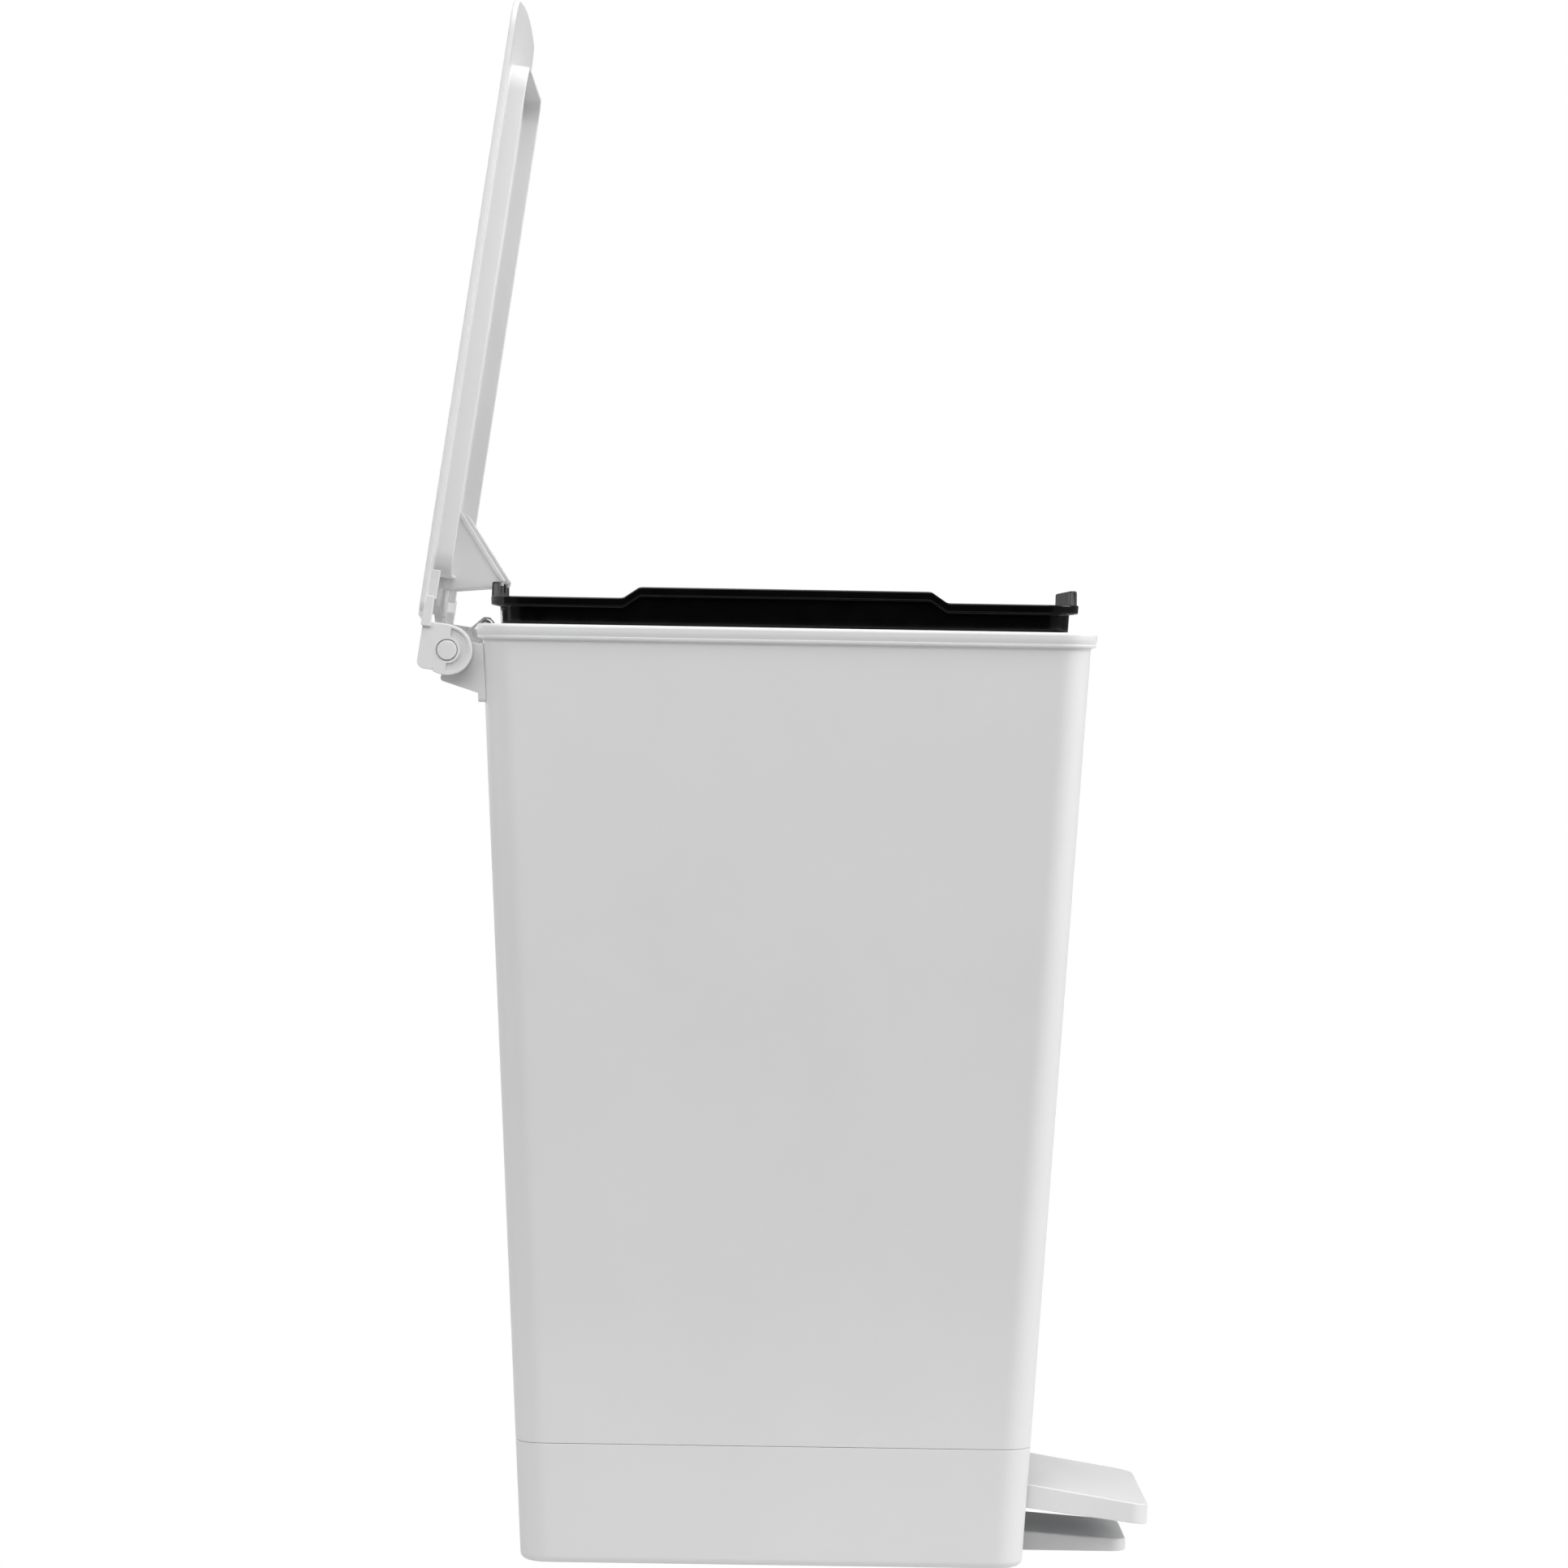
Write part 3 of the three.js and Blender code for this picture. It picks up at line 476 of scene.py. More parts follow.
FINISHES = {
    "white_shell": moulded_plastic(
        "white_polypropylene", (0.80, 0.80, 0.805), (0.825, 0.825, 0.828), (0.40, 0.50), 0.4,
        0.00002, 0.0004),
    "white_trim": moulded_plastic(
        "white_trim_plastic", (0.79, 0.79, 0.795), (0.815, 0.815, 0.82), (0.36, 0.46), 0.4, 0.000015, 0.0002),
    "black_liner": moulded_plastic(
        "black_gloss_polypropylene", (0.002, 0.0021, 0.0022), (0.003, 0.0031, 0.0033), (0.13, 0.2), 0.5,
        0.000004, 0.0003),
    "grey_moulding": moulded_plastic(
        "grey_acetal", (0.24, 0.25, 0.26), (0.3, 0.31, 0.32), (0.38, 0.5), 0.4, 0.00002, 0.0001),
    "pad_rubber": moulded_plastic(
        "black_rubber", (0.02, 0.02, 0.02), (0.035, 0.035, 0.035), (0.75, 0.9), 0.25, 0.00006, 0.0002),
    "zinc_steel": zinc(),
}


# ---------- body ----------
def rim_profile():
    """The wall's top as (out from the leaning wall, height): underside, face, rounded top, inner edge."""
    underside = ((0.0, 0.6), (0.04, 1.3), (0.2, 1.9), (0.55, 2.3), (1.1, 2.5))
    face = ((1.8, 2.7), (1.2, 2.8), (0.85, 3.1), (0.7, 3.6), (0.65, 4.4), (0.95, 4.9), (0.8, 5.5),
            (0.2, 7.2), (0.0, 8.6))
    top_round = 2.4
    inner_round = 0.9

    def rim(inset, z):
        return (RIM_HALF_X - inset - wall_half(WALL_HALF_X, z), z)

    points = [(out, RIM_FOOT + up) for out, up in underside]
    points += [rim(inset, RIM_FOOT + up) for inset, up in face]
    points += [rim(top_round - u, v) for u, v in arc(0, RIM_TOP - top_round, top_round, 0, 90, 8)]
    points += [(-WALL + inner_round - u, v) for u, v in arc(0, RIM_TOP - inner_round, inner_round, 90, 0, 4)]
    return points


def body_shell():
    """The tall tapered shell, its rim turned out and its foot lapped over the base's tongue."""
    foot_round = 0.4
    floor_round = 5.0
    lip = SEAM + SEAM_GAP
    profile = [(-WALL - 1.6, BODY_FLOOR), (-WALL - 0.5, BODY_FLOOR - 0.5), (-WALL, BODY_FLOOR - 1.6)]
    profile += [(-WALL, lip + 0.4), (-WALL + 0.4, lip)]
    profile += [(u - foot_round, v) for u, v in arc(0, lip + foot_round, foot_round, -90, 0, 5)]
    profile += rim_profile()
    floor_top = BODY_FLOOR + WALL
    profile += [
        (u - WALL - floor_round, v) for u, v in arc(0, floor_top + floor_round, floor_round, 0, -90, 6)]
    shell = thing(surface([wall_ring(v, u) for u, v in profile]))
    bosses = []
    case_bores = []
    for x, y in QUADRANTS:
        at = (x * CASE_SCREW_X, y * CASE_SCREW_Y)
        bosses.append(cylinder(5.5, "Z", *at, lip, BODY_FLOOR + 1))
        case_bores.append(cylinder(THREAD_BORE, "Z", *at, SEAM - 1, BODY_FLOOR - 1))
    crank_notch = block(
        -RIM_HALF_X - 5, -190, -NOTCH_HALF_Y, NOTCH_HALF_Y, RIM_TOP - NOTCH_DROP, RIM_TOP + 25, 4, "X")
    rod_hole = block(-190, ROD_LOW_X, -NOTCH_HALF_Y, NOTCH_HALF_Y, BODY_FLOOR - 1, BODY_FLOOR + WALL + 1, 3)
    bracket_bores = [
        cylinder(2.3, "X", side * BRACKET_SCREW_Y, z, -220, -190)
        for _, side in SIDES for z in BRACKET_SCREW_Z]
    shell = cut(join(shell, *bosses), *case_bores, crank_notch, rod_hole, *bracket_bores)
    return piece(shell, "bin_body", "bin", "white_shell", "body_shell")


# ---------- base ----------
def base_shell():
    """The tray under the body, with a tongue that stands up inside the body's foot."""
    sole_round = 5.0
    top_round = 0.6
    floor_round = 3
    tongue = WALL + GAP
    tongue_inner = tongue + 2
    tongue_top = BODY_FLOOR - 2
    top = SEAM - SEAM_GAP
    profile = [(u - sole_round, v) for u, v in arc(0, FLOOR_RISE + sole_round, sole_round, -90, 0, 8)]
    profile += [(u - top_round, v) for u, v in arc(0, top - top_round, top_round, 0, 90, 5)]
    profile += [(-tongue + 0.3, top), (-tongue, top + 0.4), (-tongue, tongue_top - 0.6)]
    profile += [(-tongue - 0.5, tongue_top), (-tongue - 1.5, tongue_top), (-tongue_inner, tongue_top - 0.6)]
    profile += [(-tongue_inner, SEAM - 7), (-WALL, SEAM - 9), (-WALL, BASE_TOP + 5)]
    profile += [(u - WALL - floor_round, v)
                for u, v in arc(0, BASE_TOP + floor_round, floor_round, 0, -90, 5)]
    shell = thing(surface([wall_ring(v, u) for u, v in profile]))
    shell = join(shell, *[
        cylinder(7.5, "Z", x * CASE_SCREW_X, y * CASE_SCREW_Y, BASE_TOP - 1, top) for x, y in QUADRANTS])
    slot_y = TREAD_HALF_Y + 3
    foot_y = FOOT_HALF_Y + 2
    tools = [
        block(150, 190, -slot_y, slot_y, 35, 80, 5, "X"),
        block(150, 190, -foot_y, foot_y, BASE_TOP, 21.2, 2, "X"),
        block(-176.5, -150, -NOTCH_HALF_Y, NOTCH_HALF_Y, SEAM - 10, BODY_FLOOR + 6, 2, "X"),
    ]
    for x, y in QUADRANTS:
        case_screw = (x * CASE_SCREW_X, y * CASE_SCREW_Y)
        tools.append(cylinder(4.8, "Z", *case_screw, 0, SEAM - 9))
        tools.append(cylinder(BORE, "Z", *case_screw, SEAM - 10, SEAM + 2))
        tools.append(cylinder(10.3, "Z", x * PAD_X, y * PAD_Y, 0, BASE_TOP - 1, 48))
        tools.append(cylinder(BORE, "Z", PIVOT_X + x * SADDLE_SCREW_X, y * SADDLE_SCREW_Y, 0, BASE_TOP + 1))
    tools += [cylinder(BORE, "Z", FOOT_SCREW_X, side * FOOT_SCREW_Y, 0, BASE_TOP + 1) for _, side in SIDES]
    return piece(cut(shell, *tools), "bin_base", "bin", "white_shell", "base_shell")


def stabiliser_foot():
    """The flat foot in front of the base, hollow underneath, with a tongue that is screwed to the base."""
    half = FOOT_HALF_Y
    front = 250.5
    sole = BASE_TOP + GAP
    plan = rounded((172.5, -half, 0), (210, -half, 0), (front, -half, 12), (front, half, 12),
                   (210, half, 0), (172.5, half, 0))
    foot = wedge(plan, [(0, sole)], [(150, 20.4), (front, 12.8)], 1.5, 0.8)
    foot = cut(foot, block(184, 246, -half + 3, half - 3, -8, 9.8, 9, "Z", 1.0))
    tongue = block(116, 186, -half + 4, half - 4, sole, sole + 3.2, 4, "Z", 0.5)
    bores = [cylinder(BORE, "Z", FOOT_SCREW_X, side * FOOT_SCREW_Y, -1, 20) for _, side in SIDES]
    foot = cut(join(foot, tongue), *bores)
    return piece(foot, "front_foot", "bin", "white_shell", "stabiliser_foot")


# ---------- hinge ----------
def body_envelope():
    """The body's upper part with a gap round it, to cut the brackets back from."""
    rings = [wall_ring(500, GAP), wall_ring(RIM_FOOT, GAP)]
    rings += [rim_ring(RIM_FOOT + 4, -GAP), rim_ring(RIM_TOP + 2, -GAP)]
    return thing(surface(rings))


def hinge_bracket(name, side):
    """An ear that stands off the rear wall, on a plate that is screwed to it."""
    low, high = on_side(side, *EAR_Y)
    outline = rounded((-6.4, -20.4, 2.5), (32, -32.5, 0), (32, 4, 0), (13, 6, 2))[:-1]
    outline += arc(0, 0, EAR_RADIUS, 40, 215, 20)
    outline = [(u + HINGE_X, v + HINGE_Z) for u, v in outline]
    ear = prism(outline, "Y", low, high, 0.7)
    wall_x = -wall_half(WALL_HALF_X, BRACKET_Z)
    place = Matrix.Translation((wall_x * MM, 0, BRACKET_Z * MM)) @ Matrix.Rotation(-LEAN, 4, "Y")
    plate = block(-4.3, 8, *on_side(side, 88, EAR_Y[1] - 0.05), -18, 14, 3, "X", 0.8, place)
    bracket = cut(join(ear, plate), body_envelope())
    bores = [cylinder(PIN_RADIUS + GAP, "Y", HINGE_X, HINGE_Z, low - 1, high + 1)]
    bores += [cylinder(THREAD_BORE, "X", side * BRACKET_SCREW_Y, z, -211.2, -190) for z in BRACKET_SCREW_Z]
    bracket = cut(bracket, *bores)
    return piece(bracket, f"hinge_ear_{name}", "bin", "white_trim", f"hinge_bracket_{name}")


def hinge_pin(name, side):
    """A pin with a flat round head let into the knuckle."""
    head_from, head_to = KNUCKLE_Y[1] - 1.4, KNUCKLE_Y[1] + 0.8
    edge = 0.8
    profile = [(PIN_RADIUS - 0.6, EAR_Y[0] - 3), (PIN_RADIUS, EAR_Y[0] - 2.4), (PIN_RADIUS, head_from)]
    profile += [(6.5, head_from), (6.7, head_from + 0.2)]
    profile += [(5.9 + u, v) for u, v in arc(0, head_to - edge, edge, 0, 70, 5)]
    profile += [(5.2, head_to - 0.02), (3, head_to), (0.5, head_to)]
    pin = lathe([(r, side * h) for r, h in profile], "Y", HINGE_X, HINGE_Z, 64)
    return piece(pin, f"pivot_pin_{name}", "bin", "white_trim", f"hinge_pin_{name}")


# ---------- lid, drawn closed, about its hinge axis ----------
def lid_plan():
    """The lid's outline: small corners at the hinge, large ones and a bowed edge at the front."""
    bowed = []
    steps = 24
    straight = RIM_HALF_Y - LID_CORNER
    for step in range(1, steps):
        y = -straight + 2 * straight * step / steps
        bowed.append((LID_FRONT + LID_BULGE * (1 - (y / straight) ** 2), y, 0))
    corner_turn = arc(LID_FRONT - LID_CORNER, -straight, LID_CORNER, -90, -4, 14)
    near = [(x, y, 0) for x, y in corner_turn]
    far = [(x, -y, 0) for x, y in reversed(corner_turn)]
    return rounded((LID_REAR, -RIM_HALF_Y, 8), *near, *bowed, *far, (LID_REAR, RIM_HALF_Y, 8))


def lid_skirt():
    """The wall under the lid that fits inside the rim, flared where it meets the plate."""
    middle = (SKIRT_REAR + SKIRT_FRONT) / 2
    half_x = (SKIRT_FRONT - SKIRT_REAR) / 2
    wall = 2.4
    edge = 1.0
    low = LID_UNDER - SKIRT_DEPTH
    flare = [(0, LID_UNDER - 1.3), (0.15, LID_UNDER - 0.6), (0.5, LID_UNDER - 0.15), (1.1, LID_UNDER),
             (1.1, LID_UNDER + 1.4)]
    profile = [(-u, v) for u, v in flare[::-1]]
    profile += [(edge - u, v) for u, v in arc(0, low + edge, edge, 0, -90, 4)]
    profile += [(wall - edge + u, v) for u, v in arc(0, low + edge, edge, -90, 0, 4)]
    profile += [(wall + u, v) for u, v in flare]
    rings = [ring(v, half_x - u, SKIRT_HALF_Y - u, 18 - u) for u, v in profile]
    rings = [[(x + middle, y, z) for x, y, z in points] for points in rings]
    return thing(surface(rings, closed=True))


def lid_gusset(side):
    """A triangular stiffener with a bead along its sloping edge."""
    root = LID_UNDER + 1
    heel, toe = (96, 8.8), (53.5, -28)
    outline = rounded(
        (40.6, root, 0), (41.4, 8.6, 1), (49.6, -27.4, 1.2), (*toe, 1.5), (*heel, 0), (heel[0], root, 0))
    low, high = on_side(side, *GUSSET_Y)
    web = prism(outline, "Y", low, high, 0.3)
    along = (Vector(heel) - Vector(toe)).normalized()
    inward = Vector((-along.y, along.x))
    heel_in = Vector(heel) + inward * 3.2 + along * 4
    toe_in = Vector(toe) + inward * 3.2
    heel_out = Vector(heel) + along * 0.2
    bead = rounded((*toe, 1.4), (*heel_out, 0), (*heel_in, 0), (*toe_in, 1))
    low, high = on_side(side, GUSSET_Y[0] - 0.7, GUSSET_Y[1] + 0.7)
    return join(web, prism(bead, "Y", low, high, 0.7))


def lid_knuckle(side):
    """The eye that turns on the pin, the shoulder past the rim's corner, and the arm inside the rim."""
    low, high = on_side(side, *KNUCKLE_Y)
    upper = LID_UNDER + LID_PLATE - 0.1
    outline = rounded(
        (17.5, 0, 0), (17.5, 18.4, 0), (19, LID_UNDER, 0), (32, LID_UNDER, 0), (32, upper, 0),
        (21, upper, 1), (16.5, LID_UNDER, 1.5), (-15, LID_UNDER, 6), (-15, 8, 1))
    outline += arc(0, 0, KNUCKLE_RADIUS, 155, 358, 26)
    eye = prism(outline, "Y", low, high, 0.7)
    arm = block(33, SKIRT_REAR + 4, *on_side(side, *ARM_Y), ARM_LOW, LID_UNDER + 1, 0.8, "Y", 0.5)
    shoulder = block(14, 35, *on_side(side, *SHOULDER_Y), ARM_LOW, LID_UNDER + 1, 1.2, "Y", 0.7)
    rim_corner = thing(surface([rim_ring(RIM_FOOT - 10, -2 * GAP), rim_ring(RIM_TOP + 2 * GAP, -2 * GAP)]),
                       Matrix.Translation((-HINGE_X * MM, 0, -HINGE_Z * MM)))
    return join(eye, cut(shoulder, rim_corner), arm)


def lid_crank():
    """The blade that hangs through the rear wall's notch, with the slot that the rod's bend slides in."""
    angle = -LID_SWING / 2
    slot_half = ROD_RADIUS + 1.8
    edge = slot_half + 1.8
    inner, outer = 19.6, 27.6

    def along(r, across):
        """A point some way along the blade from the hinge, and across it."""
        return (
            r * math.cos(angle) - across * math.sin(angle),
            r * math.sin(angle) + across * math.cos(angle))

    blade = rounded(
        (LID_REAR, LID_UNDER + 1, 0), (7.8, 16.7, 2), (2.1, 6.4, 3), (2, -6, 3), (*along(13, -edge), 3),
        (*along(outer + 2, -edge), 3), (*along(outer + edge - 1, -3), 2), (*along(outer + edge - 1, 3), 2),
        (*along(outer + 2, edge), 2), (*along(13, edge), 3), (11.8, 9.7, 3), (18.3, 13.7, 2),
        (28.3, 16.1, 1.5), (28.3, LID_UNDER + 1, 0))
    ends = [arc(r, 0, slot_half, start, start + 180, 12) for r, start in ((outer, -90), (inner, 90))]
    slot = [along(u, v) for u, v in ends[0] + ends[1]]
    return cut(prism(blade, "Y", -3, 3, 0.5), prism(slot, "Y", -5, 5))


def knuckle_recess(side):
    """The half-round hollow in the knuckle's outer face, round the seat of the pin's head."""
    radius = 15.3
    seat_wall = 9.0
    face = KNUCKLE_Y[1]
    half_round = [(u, v, 0) for u, v in arc(0, 0, radius, 184, 356, 24)]
    outline = rounded((-radius, -0.9, 0.6), *half_round, (radius, -0.9, 0.6))
    hollow = prism(outline, "Y", *on_side(side, face - 2.4, face + 1))
    return cut(hollow, cylinder(seat_wall, "Y", 0, 0, *on_side(side, face - 4, face + 4), 64))


def lid():
    plate = prism(lid_plan(), "Z", LID_UNDER, LID_UNDER + LID_PLATE, 1.5, 0.6)
    whole = join(plate, lid_skirt(), lid_crank())
    tools = []
    for _, side in SIDES:
        whole = join(whole, lid_knuckle(side), lid_gusset(side))
        low, high = on_side(side, *KNUCKLE_Y)
        seat = on_side(side, KNUCKLE_Y[1] - 1.9, KNUCKLE_Y[1] + 1)
        tools.append(cylinder(PIN_RADIUS + GAP, "Y", 0, 0, low - 1, high + 1))
        tools.append(cylinder(PIN_SEAT_RADIUS, "Y", 0, 0, *seat, 64))
        tools.append(knuckle_recess(side))
    whole = cut(whole, *tools)
    whole.data.transform(LID_PLACE)
    return piece(whole, "lid_moulding", "lid", "white_shell", "lid")


# ---------- liner ----------
HUMP_END = HUMP_HALF_X + HUMP_RAMP
HUMP_EDGE = [(HUMP_HALF_X - 2.5, 1.0), (HUMP_HALF_X - 1, 0.985), (HUMP_HALF_X + 0.5, 0.93),
             (HUMP_END - 0.8, 0.07), (HUMP_END + 0.8, 0.015), (HUMP_END + 2.5, 0.0)]


def hump(x, y):
    """How far the flange rises over the humps on its long sides."""
    return HUMP_RISE * along_line(abs(x), HUMP_EDGE) if abs(y) > LINER_HALF_Y - 20 else 0.0


def liner_ring(z, out, rise=0.0):
    """The bucket's outline at a height, moved out by some distance, and raised over the humps by a share."""
    drop = TAPER * (LINER_TOP - z)
    half_x = LINER_HALF_X - drop + out
    half_y = LINER_HALF_Y - drop + out
    stations = sorted([p for p, _ in HUMP_EDGE] + [-p for p, _ in HUMP_EDGE])
    return ring(lambda x, y: z + rise * hump(x, y), half_x, half_y, max(16 + out, 11), stations)


def lip(end):
    """The bar that stands up from the flange at one end, its upper corners leaned in."""
    near, far = on_side(end, *LIP_X)
    low, high = LINER_TOP - LINER_FLANGE + 0.8, LINER_TOP + LIP_RISE
    top = LIP_HALF_Y - 3.2
    outline = rounded((-LIP_HALF_Y, low, 0), (LIP_HALF_Y, low, 0), (top, high, 2.2), (-top, high, 2.2))
    return prism(outline, "X", near, far, 1.5)


def liner():
    """The bucket, with its flange, the humps on its long sides and a lip at each end."""
    foot_round = 3.0
    inner_round = 4.0
    edge = 0.9
    flange_foot = LINER_TOP - LINER_FLANGE
    floor_top = LINER_BOTTOM + LINER_WALL
    out = LINER_FLANGE - edge
    inner = -LINER_WALL
    rings = [liner_ring(v, u - foot_round)
             for u, v in arc(0, LINER_BOTTOM + foot_round, foot_round, -90, 0, 5)]
    rings += [liner_ring(z, 0) for z in (300, 480, flange_foot - 12)]
    rings += [liner_ring(flange_foot - 2.4, 0, 0.9), liner_ring(flange_foot - 0.9, 0, 1)]
    rings += [liner_ring(flange_foot - 0.2, 0.3, 1), liner_ring(flange_foot, 1.0, 1)]
    rings += [liner_ring(v, out + u, 1) for u, v in arc(0, flange_foot + edge, edge, -90, 0, 4)]
    rings += [liner_ring(v, out + u, 1) for u, v in arc(0, LINER_TOP - edge, edge, 0, 90, 4)]
    rings += [liner_ring(v, inner + edge - u, 1) for u, v in arc(0, LINER_TOP - edge, edge, 90, 0, 4)]
    rings += [liner_ring(flange_foot - 8, inner), liner_ring(400, inner)]
    rings += [liner_ring(v, inner - inner_round + u)
              for u, v in arc(0, floor_top + inner_round, inner_round, 0, -90, 5)]
    bucket = join(thing(surface(rings)), lip(1), lip(-1))
    bucket = cut(bucket, *[
        block(-LIP_X[1] - 1, -LIP_X[0] + 1, y0, y1, LINER_TOP + 2.6, LINER_TOP + 20, 1.2, "X")
        for y0, y1 in LIP_NOTCHES])
    bucket.data.transform(Matrix.Translation((LINER_X * MM, 0, 0)))
    return piece(bucket, "inner_bucket", "liner", "black_liner", "liner")


# ---------- pedal ----------
def pedal_tread():
    """The moulded tread, hollow underneath. It is drawn level, in the pedal's own frame."""
    nose = TREAD_NOSE
    nose_foot = 13.6
    nose_lean = 2.0
    lean_from = 180
    corner = 13
    plan = rounded((TREAD_REAR, -TREAD_HALF_Y, 0), (150, -TREAD_HALF_Y, 0), (nose, -TREAD_HALF_Y, corner),
                   (nose, TREAD_HALF_Y, corner), (150, TREAD_HALF_Y, 0), (TREAD_REAR, TREAD_HALF_Y, 0))
    bottom = [(TREAD_REAR, 10.0), (117, 10.6), (182, 13.3), (nose, nose_foot)]
    slope = nose_lean / (TREAD_TOP - nose_foot)

    def leaned(x, y, z):
        """The nose stands upright while the pedal is held down, so it leans back in the pedal's own frame."""
        share = max(0.0, (x - lean_from) / (nose - lean_from))
        return (x - share * slope * (z - nose_foot), y, z)

    tread = wedge(plan, bottom, [(0, TREAD_TOP)], 1.1, 0.8, leaned)
    wall_y = TREAD_HALF_Y - TREAD_SKIN
    ceiling = TREAD_TOP - TREAD_SKIN
    tread = cut(tread, block(TREAD_REAR - 5, nose - 6, -wall_y, wall_y, 0, ceiling, 9, "Z", 0.8))
    tread = join(tread, *[
        cylinder(5, "Z", TREAD_SCREW_X, side * TREAD_SCREW_Y, ceiling - 0.2, TREAD_TOP - 1)
        for _, side in SIDES])
    tread.data.transform(PEDAL_PLACE)
    return piece(tread, "foot_tread", "pedal", "white_shell", "pedal_tread")


# ---------- push rod ----------
def bent(points, radius, steps=7):
    """A path through points, each inner corner bent to a radius."""
    path = [points[0]]
    for before, here, after in zip(points, points[1:], points[2:]):
        back = (before - here).normalized()
        on = (after - here).normalized()
        half = back.angle(on) / 2
        if half > math.radians(89):
            path.append(here)
            continue
        reach = radius / math.tan(half)
        centre = here + (back + on).normalized() * (radius / math.sin(half))
        start = here + back * reach - centre
        end = here + on * reach - centre
        swing = start.angle(end)
        axis = start.cross(end).normalized()
        path += [centre + Matrix.Rotation(swing * step / steps, 3, axis) @ start for step in range(steps + 1)]
    return path + [points[-1]]


def swept(path, radius, sides=24):
    """A round bar along a path, its ends chamfered."""
    side = Vector((1, 0, 0))
    rings = []
    last = len(path) - 1
    for index, at in enumerate(path):
        along = (path[min(index + 1, last)] - path[max(index - 1, 0)]).normalized()
        side = (side - along * side.dot(along)).normalized()
        other = along.cross(side)
        angles = [2 * math.pi * step / sides for step in range(sides)]
        sizes = [(0, radius)]
        if index == 0:
            sizes = [(0, radius - 0.5), (0.5, radius)]
        if index == last:
            sizes = [(-0.5, radius), (0, radius - 0.5)]
        for ahead, size in sizes:
            centre = at + along * ahead
            rings.append([tuple(centre + (side * math.cos(a) + other * math.sin(a)) * size) for a in angles])
    return thing(surface(rings))


def push_rod():
    """The rod up the rear wall, its ends bent to run in the lever's slot and the crank's."""
    rise = CRANK_RADIUS * math.sin(LID_SWING / 2)
    low_z = PIVOT_Z + rise
    bend_z = HINGE_Z + rise
    bend_x = HINGE_X + CRANK_RADIUS * math.cos(LID_SWING / 2) - 0.9

    def rod_x(z):
        return -wall_half(WALL_HALF_X, z) + WALL + ROD_INSET

    end_y = 8
    wall_low, wall_high = low_z + 13, bend_z - 19
    points = [Vector(point) for point in (
        (ROD_LOW_X, end_y, low_z), (ROD_LOW_X, ROD_PLANE, low_z),
        (rod_x(wall_low), ROD_PLANE, wall_low), (rod_x(wall_high), ROD_PLANE, wall_high),
        (bend_x, ROD_PLANE, bend_z), (bend_x, end_y, bend_z))]
    return piece(swept(bent(points, 3.6), ROD_RADIUS), "bent_rod", "rod", "zinc_steel", "push_rod")


# ---------- screws ----------
def screw(node, body, head, tip, place=None):
    """A pan-headed cross-recessed screw, from the point under its head to its tip, in millimetres."""
    head, tip = Vector(head), Vector(tip)
    length = (tip - head).length
    pitch = 0.8
    root, crest = 1.45, 1.8
    profile = [(0.5, length), (1.2, length - 0.7)]
    for turn in range(max(1, int((length - 1.6) / pitch))):
        z = length - 1.0 - turn * pitch
        profile += [(root, z), (crest, z - 0.3), (crest, z - 0.4), (root, z - 0.7)]
    profile += [(root, 0.1), (3.4, 0.0), (3.6, -0.2), (3.6, -0.9), (3.35, -1.35)]
    profile += [(2.8, -1.7), (1.9, -1.92), (0.6, -2.0)]
    blank = lathe(profile, "Z", 0, 0, 32)
    arm, half = 1.9, 0.42
    slots = [block(-arm, arm, -half, half, -2.6, -0.9, 0.3), block(-half, half, -arm, arm, -2.6, -0.9, 0.3)]
    blank = cut(blank, *slots)
    turn = Vector((0, 0, 1)).rotation_difference((tip - head).normalized()).to_matrix().to_4x4()
    blank.data.transform(Matrix.Translation(head * MM) @ turn)
    if place is not None:
        blank.data.transform(place)
    return piece(blank, f"fixing_{node}", body, "zinc_steel", node)


def screws():
    grip = 3  # the length of a tread screw under its head
    for name, side in SIDES:
        foot = (FOOT_SCREW_X, side * FOOT_SCREW_Y)
        screw(f"foot_screw_{name}", "bin", (*foot, BASE_TOP + 4), (*foot, FLOOR_RISE + 0.4))
        tread = (TREAD_SCREW_X, side * TREAD_SCREW_Y)
        head = TREAD_TOP - TREAD_SKIN - GAP - grip - GAP
        screw(f"tread_screw_{name}", "pedal", (*tread, head), (*tread, head + grip), PEDAL_PLACE)
        for level, z in zip(("lower", "upper"), BRACKET_SCREW_Z):
            inner = -wall_half(WALL_HALF_X, z) + WALL + GAP
            y = side * BRACKET_SCREW_Y
            screw(f"bracket_screw_{name}_{level}", "bin", (inner + 0.2, y, z), (-210.8, y, z))
    saddle_places = [(end, side) for side in (1, -1) for end in (-1, 1)]
    for number, (end, side) in enumerate(saddle_places, 1):
        x, y = PIVOT_X + end * SADDLE_SCREW_X, side * SADDLE_SCREW_Y
        screw(f"saddle_screw_{number}", "bin", (x, y, BASE_TOP + 4.3), (x, y, FLOOR_RISE + 0.4))
    for number, (sign_x, sign_y) in enumerate(QUADRANTS, 1):
        x, y = sign_x * CASE_SCREW_X, sign_y * CASE_SCREW_Y
        screw(f"case_screw_{number}", "bin", (x, y, SEAM - 9 - GAP), (x, y, BODY_FLOOR - 2))


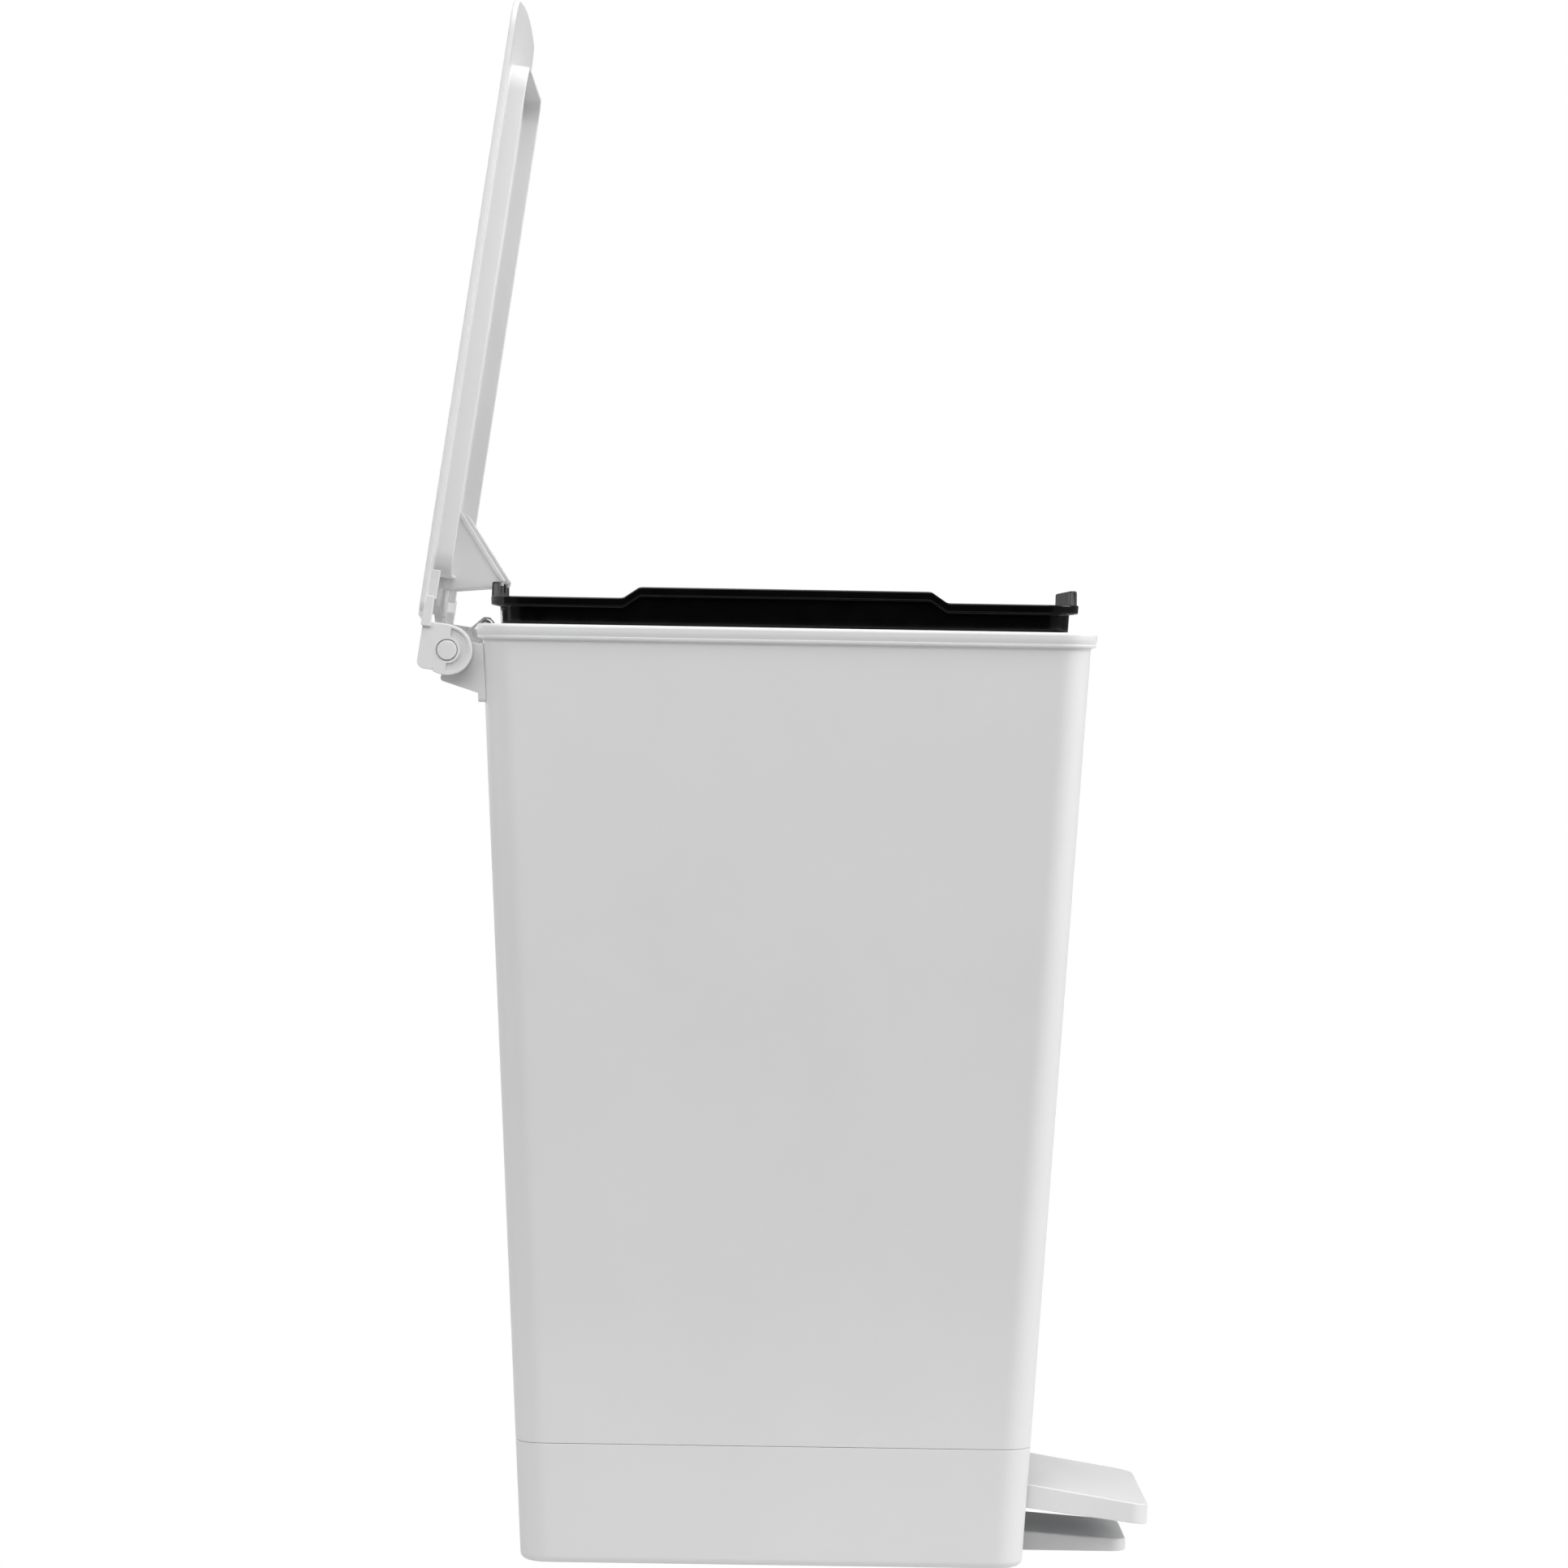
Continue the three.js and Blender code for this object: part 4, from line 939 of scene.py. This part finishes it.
# ---------- CAD pieces kept as they are, with broken edges and their finishes ----------
def keep(node, slot, edge):
    obj = frame["nodes"][node]
    obj.data.materials.clear()
    obj.data.materials.append(FINISHES[slot])
    weld = obj.modifiers.new("weld", "WELD")
    weld.merge_threshold = 0.000002
    bevel = obj.modifiers.new("broken edges", "BEVEL")
    bevel.width = edge * MM
    bevel.segments = 3
    bevel.limit_method = "ANGLE"
    bevel.angle_limit = math.radians(35)
    bevel.harden_normals = True


def kept_pieces():
    for name, _ in SIDES:
        keep(f"axle_saddle_{name}", "grey_moulding", 0.5)
        keep(f"axle_clip_{name}", "zinc_steel", 0.2)
    for name in ("front_left", "rear_left", "rear_right", "front_right"):
        keep(f"foot_pad_{name}", "pad_rubber", 0.5)
    for level in ("lower", "upper"):
        keep(f"rod_clip_{level}", "zinc_steel", 0.2)
        keep(f"rod_guide_{level}", "grey_moulding", 0.5)
    keep("pedal_axle", "zinc_steel", 0.5)
    keep("pedal_lever", "zinc_steel", 0.4)


# ---------- stage ----------
def camera():
    data = bpy.data.cameras.new("camera")
    data.lens = 120.07
    data.sensor_width = 36
    data.clip_end = 50
    cam = bpy.data.objects.new("camera", data)
    bpy.context.scene.collection.objects.link(cam)
    yaw, pitch, roll = math.radians(0.5956), math.radians(1.3515), math.radians(0.9427)
    turn = Matrix.Rotation(-yaw, 4, "Z") @ Matrix.Rotation(math.pi / 2 - pitch, 4, "X")
    cam.matrix_world = Matrix.Translation((-0.03765, -3.7106, 0.62772)) @ turn @ Matrix.Rotation(roll, 4, "Z")
    bpy.context.scene.camera = cam


def show_to_camera(tree, lit, shown, output):
    """Lights the scene with one shader, and shows the camera another, in plain white."""
    shown.inputs["Color"].default_value = (1, 1, 1, 1)
    shown.inputs["Strength"].default_value = 1.0
    mix = tree.nodes.new("ShaderNodeMixShader")
    path = tree.nodes.new("ShaderNodeLightPath")
    tree.links.new(path.outputs["Is Camera Ray"], mix.inputs["Fac"])
    tree.links.new(lit, mix.inputs[1])
    tree.links.new(shown.outputs[0], mix.inputs[2])
    tree.links.new(mix.outputs["Shader"], output.inputs["Surface"])


def floor():
    mesh = bpy.data.meshes.new("floor")
    left, right, near, far = -3.0, 3.0, -0.8, 8.0
    mesh.from_pydata([(left, near, 0), (right, near, 0), (right, far, 0), (left, far, 0)], [], [(0, 1, 2, 3)])
    obj = bpy.data.objects.new("floor", mesh)
    bpy.context.scene.collection.objects.link(obj)
    made, tree, shader, where = material("pale_floor")
    tree.links.new(tint(tree, noise(tree, where, 3), (0.38, 0.38, 0.38), (0.4, 0.4, 0.4)),
                   shader.inputs["Base Color"])
    shader.inputs["Roughness"].default_value = 0.9
    shader.inputs["Specular IOR Level"].default_value = 0.1
    shader.inputs["Emission Color"].default_value = (1, 1, 1, 1)
    shader.inputs["Emission Strength"].default_value = 0.38
    shown = tree.nodes.new("ShaderNodeEmission")
    show_to_camera(tree, shader.outputs["BSDF"], shown, tree.nodes["Material Output"])
    mesh.materials.append(made)


def softbox(name, at, aim, size_x, size_y, watts):
    data = bpy.data.lights.new(name, "AREA")
    data.shape = "RECTANGLE"
    data.size, data.size_y = size_x, size_y
    data.energy = watts
    obj = bpy.data.objects.new(name, data)
    bpy.context.scene.collection.objects.link(obj)
    toward = Vector(aim) - Vector(at)
    obj.matrix_world = Matrix.Translation(at) @ toward.to_track_quat("-Z", "Y").to_matrix().to_4x4()


SOFTBOXES = (  # name, place, aim, two sizes in metres, watts
    ("key", (2.3, -0.6, 1.7), (0, 0, 0.8), 1.6, 2.0, 54),
    ("fill", (-0.55, -1.6, 1.62), (-0.2, 0, 0.95), 2.0, 1.0, 19),
    ("top", (0.2, -0.3, 3.0), (0, 0, 0.3), 2.2, 2.2, 35),
    ("back", (-1.9, 2.2, 1.2), (0, 0, 0.5), 1.0, 1.4, 24),
    ("left", (-2.3, -0.35, 1.3), (-0.2, 0, 0.6), 1.2, 1.4, 7),
)


def lights():
    """Soft lights, and a world left dark round -Y, where the liner's gloss would mirror it."""
    for lamp in SOFTBOXES:
        softbox(*lamp)
    world = bpy.data.worlds.new("studio")
    bpy.context.scene.world = world
    world.use_nodes = True
    tree = world.node_tree
    lit = tree.nodes["Background"]
    split = tree.nodes.new("ShaderNodeSeparateXYZ")
    tree.links.new(tree.nodes.new("ShaderNodeTexCoord").outputs["Generated"], split.inputs["Vector"])
    # it brightens between 10 and 31 degrees off -Y
    fade = tree.nodes.new("ShaderNodeMapRange")
    fade.interpolation_type = "SMOOTHSTEP"
    fade.inputs["From Min"].default_value = -0.985
    fade.inputs["From Max"].default_value = -0.86
    fade.inputs["To Min"].default_value = 0.0
    fade.inputs["To Max"].default_value = 2.6
    tree.links.new(split.outputs["Y"], fade.inputs["Value"])
    tree.links.new(fade.outputs["Result"], lit.inputs["Strength"])
    shown = tree.nodes.new("ShaderNodeBackground")
    show_to_camera(tree, lit.outputs["Background"], shown, tree.nodes["World Output"])
    bpy.context.scene.view_settings.view_transform = "Standard"


camera()
floor()
lights()

body_shell()
base_shell()
stabiliser_foot()
for side_name, side_sign in SIDES:
    hinge_bracket(side_name, side_sign)
    hinge_pin(side_name, side_sign)
lid()
liner()
pedal_tread()
push_rod()
screws()
kept_pieces()
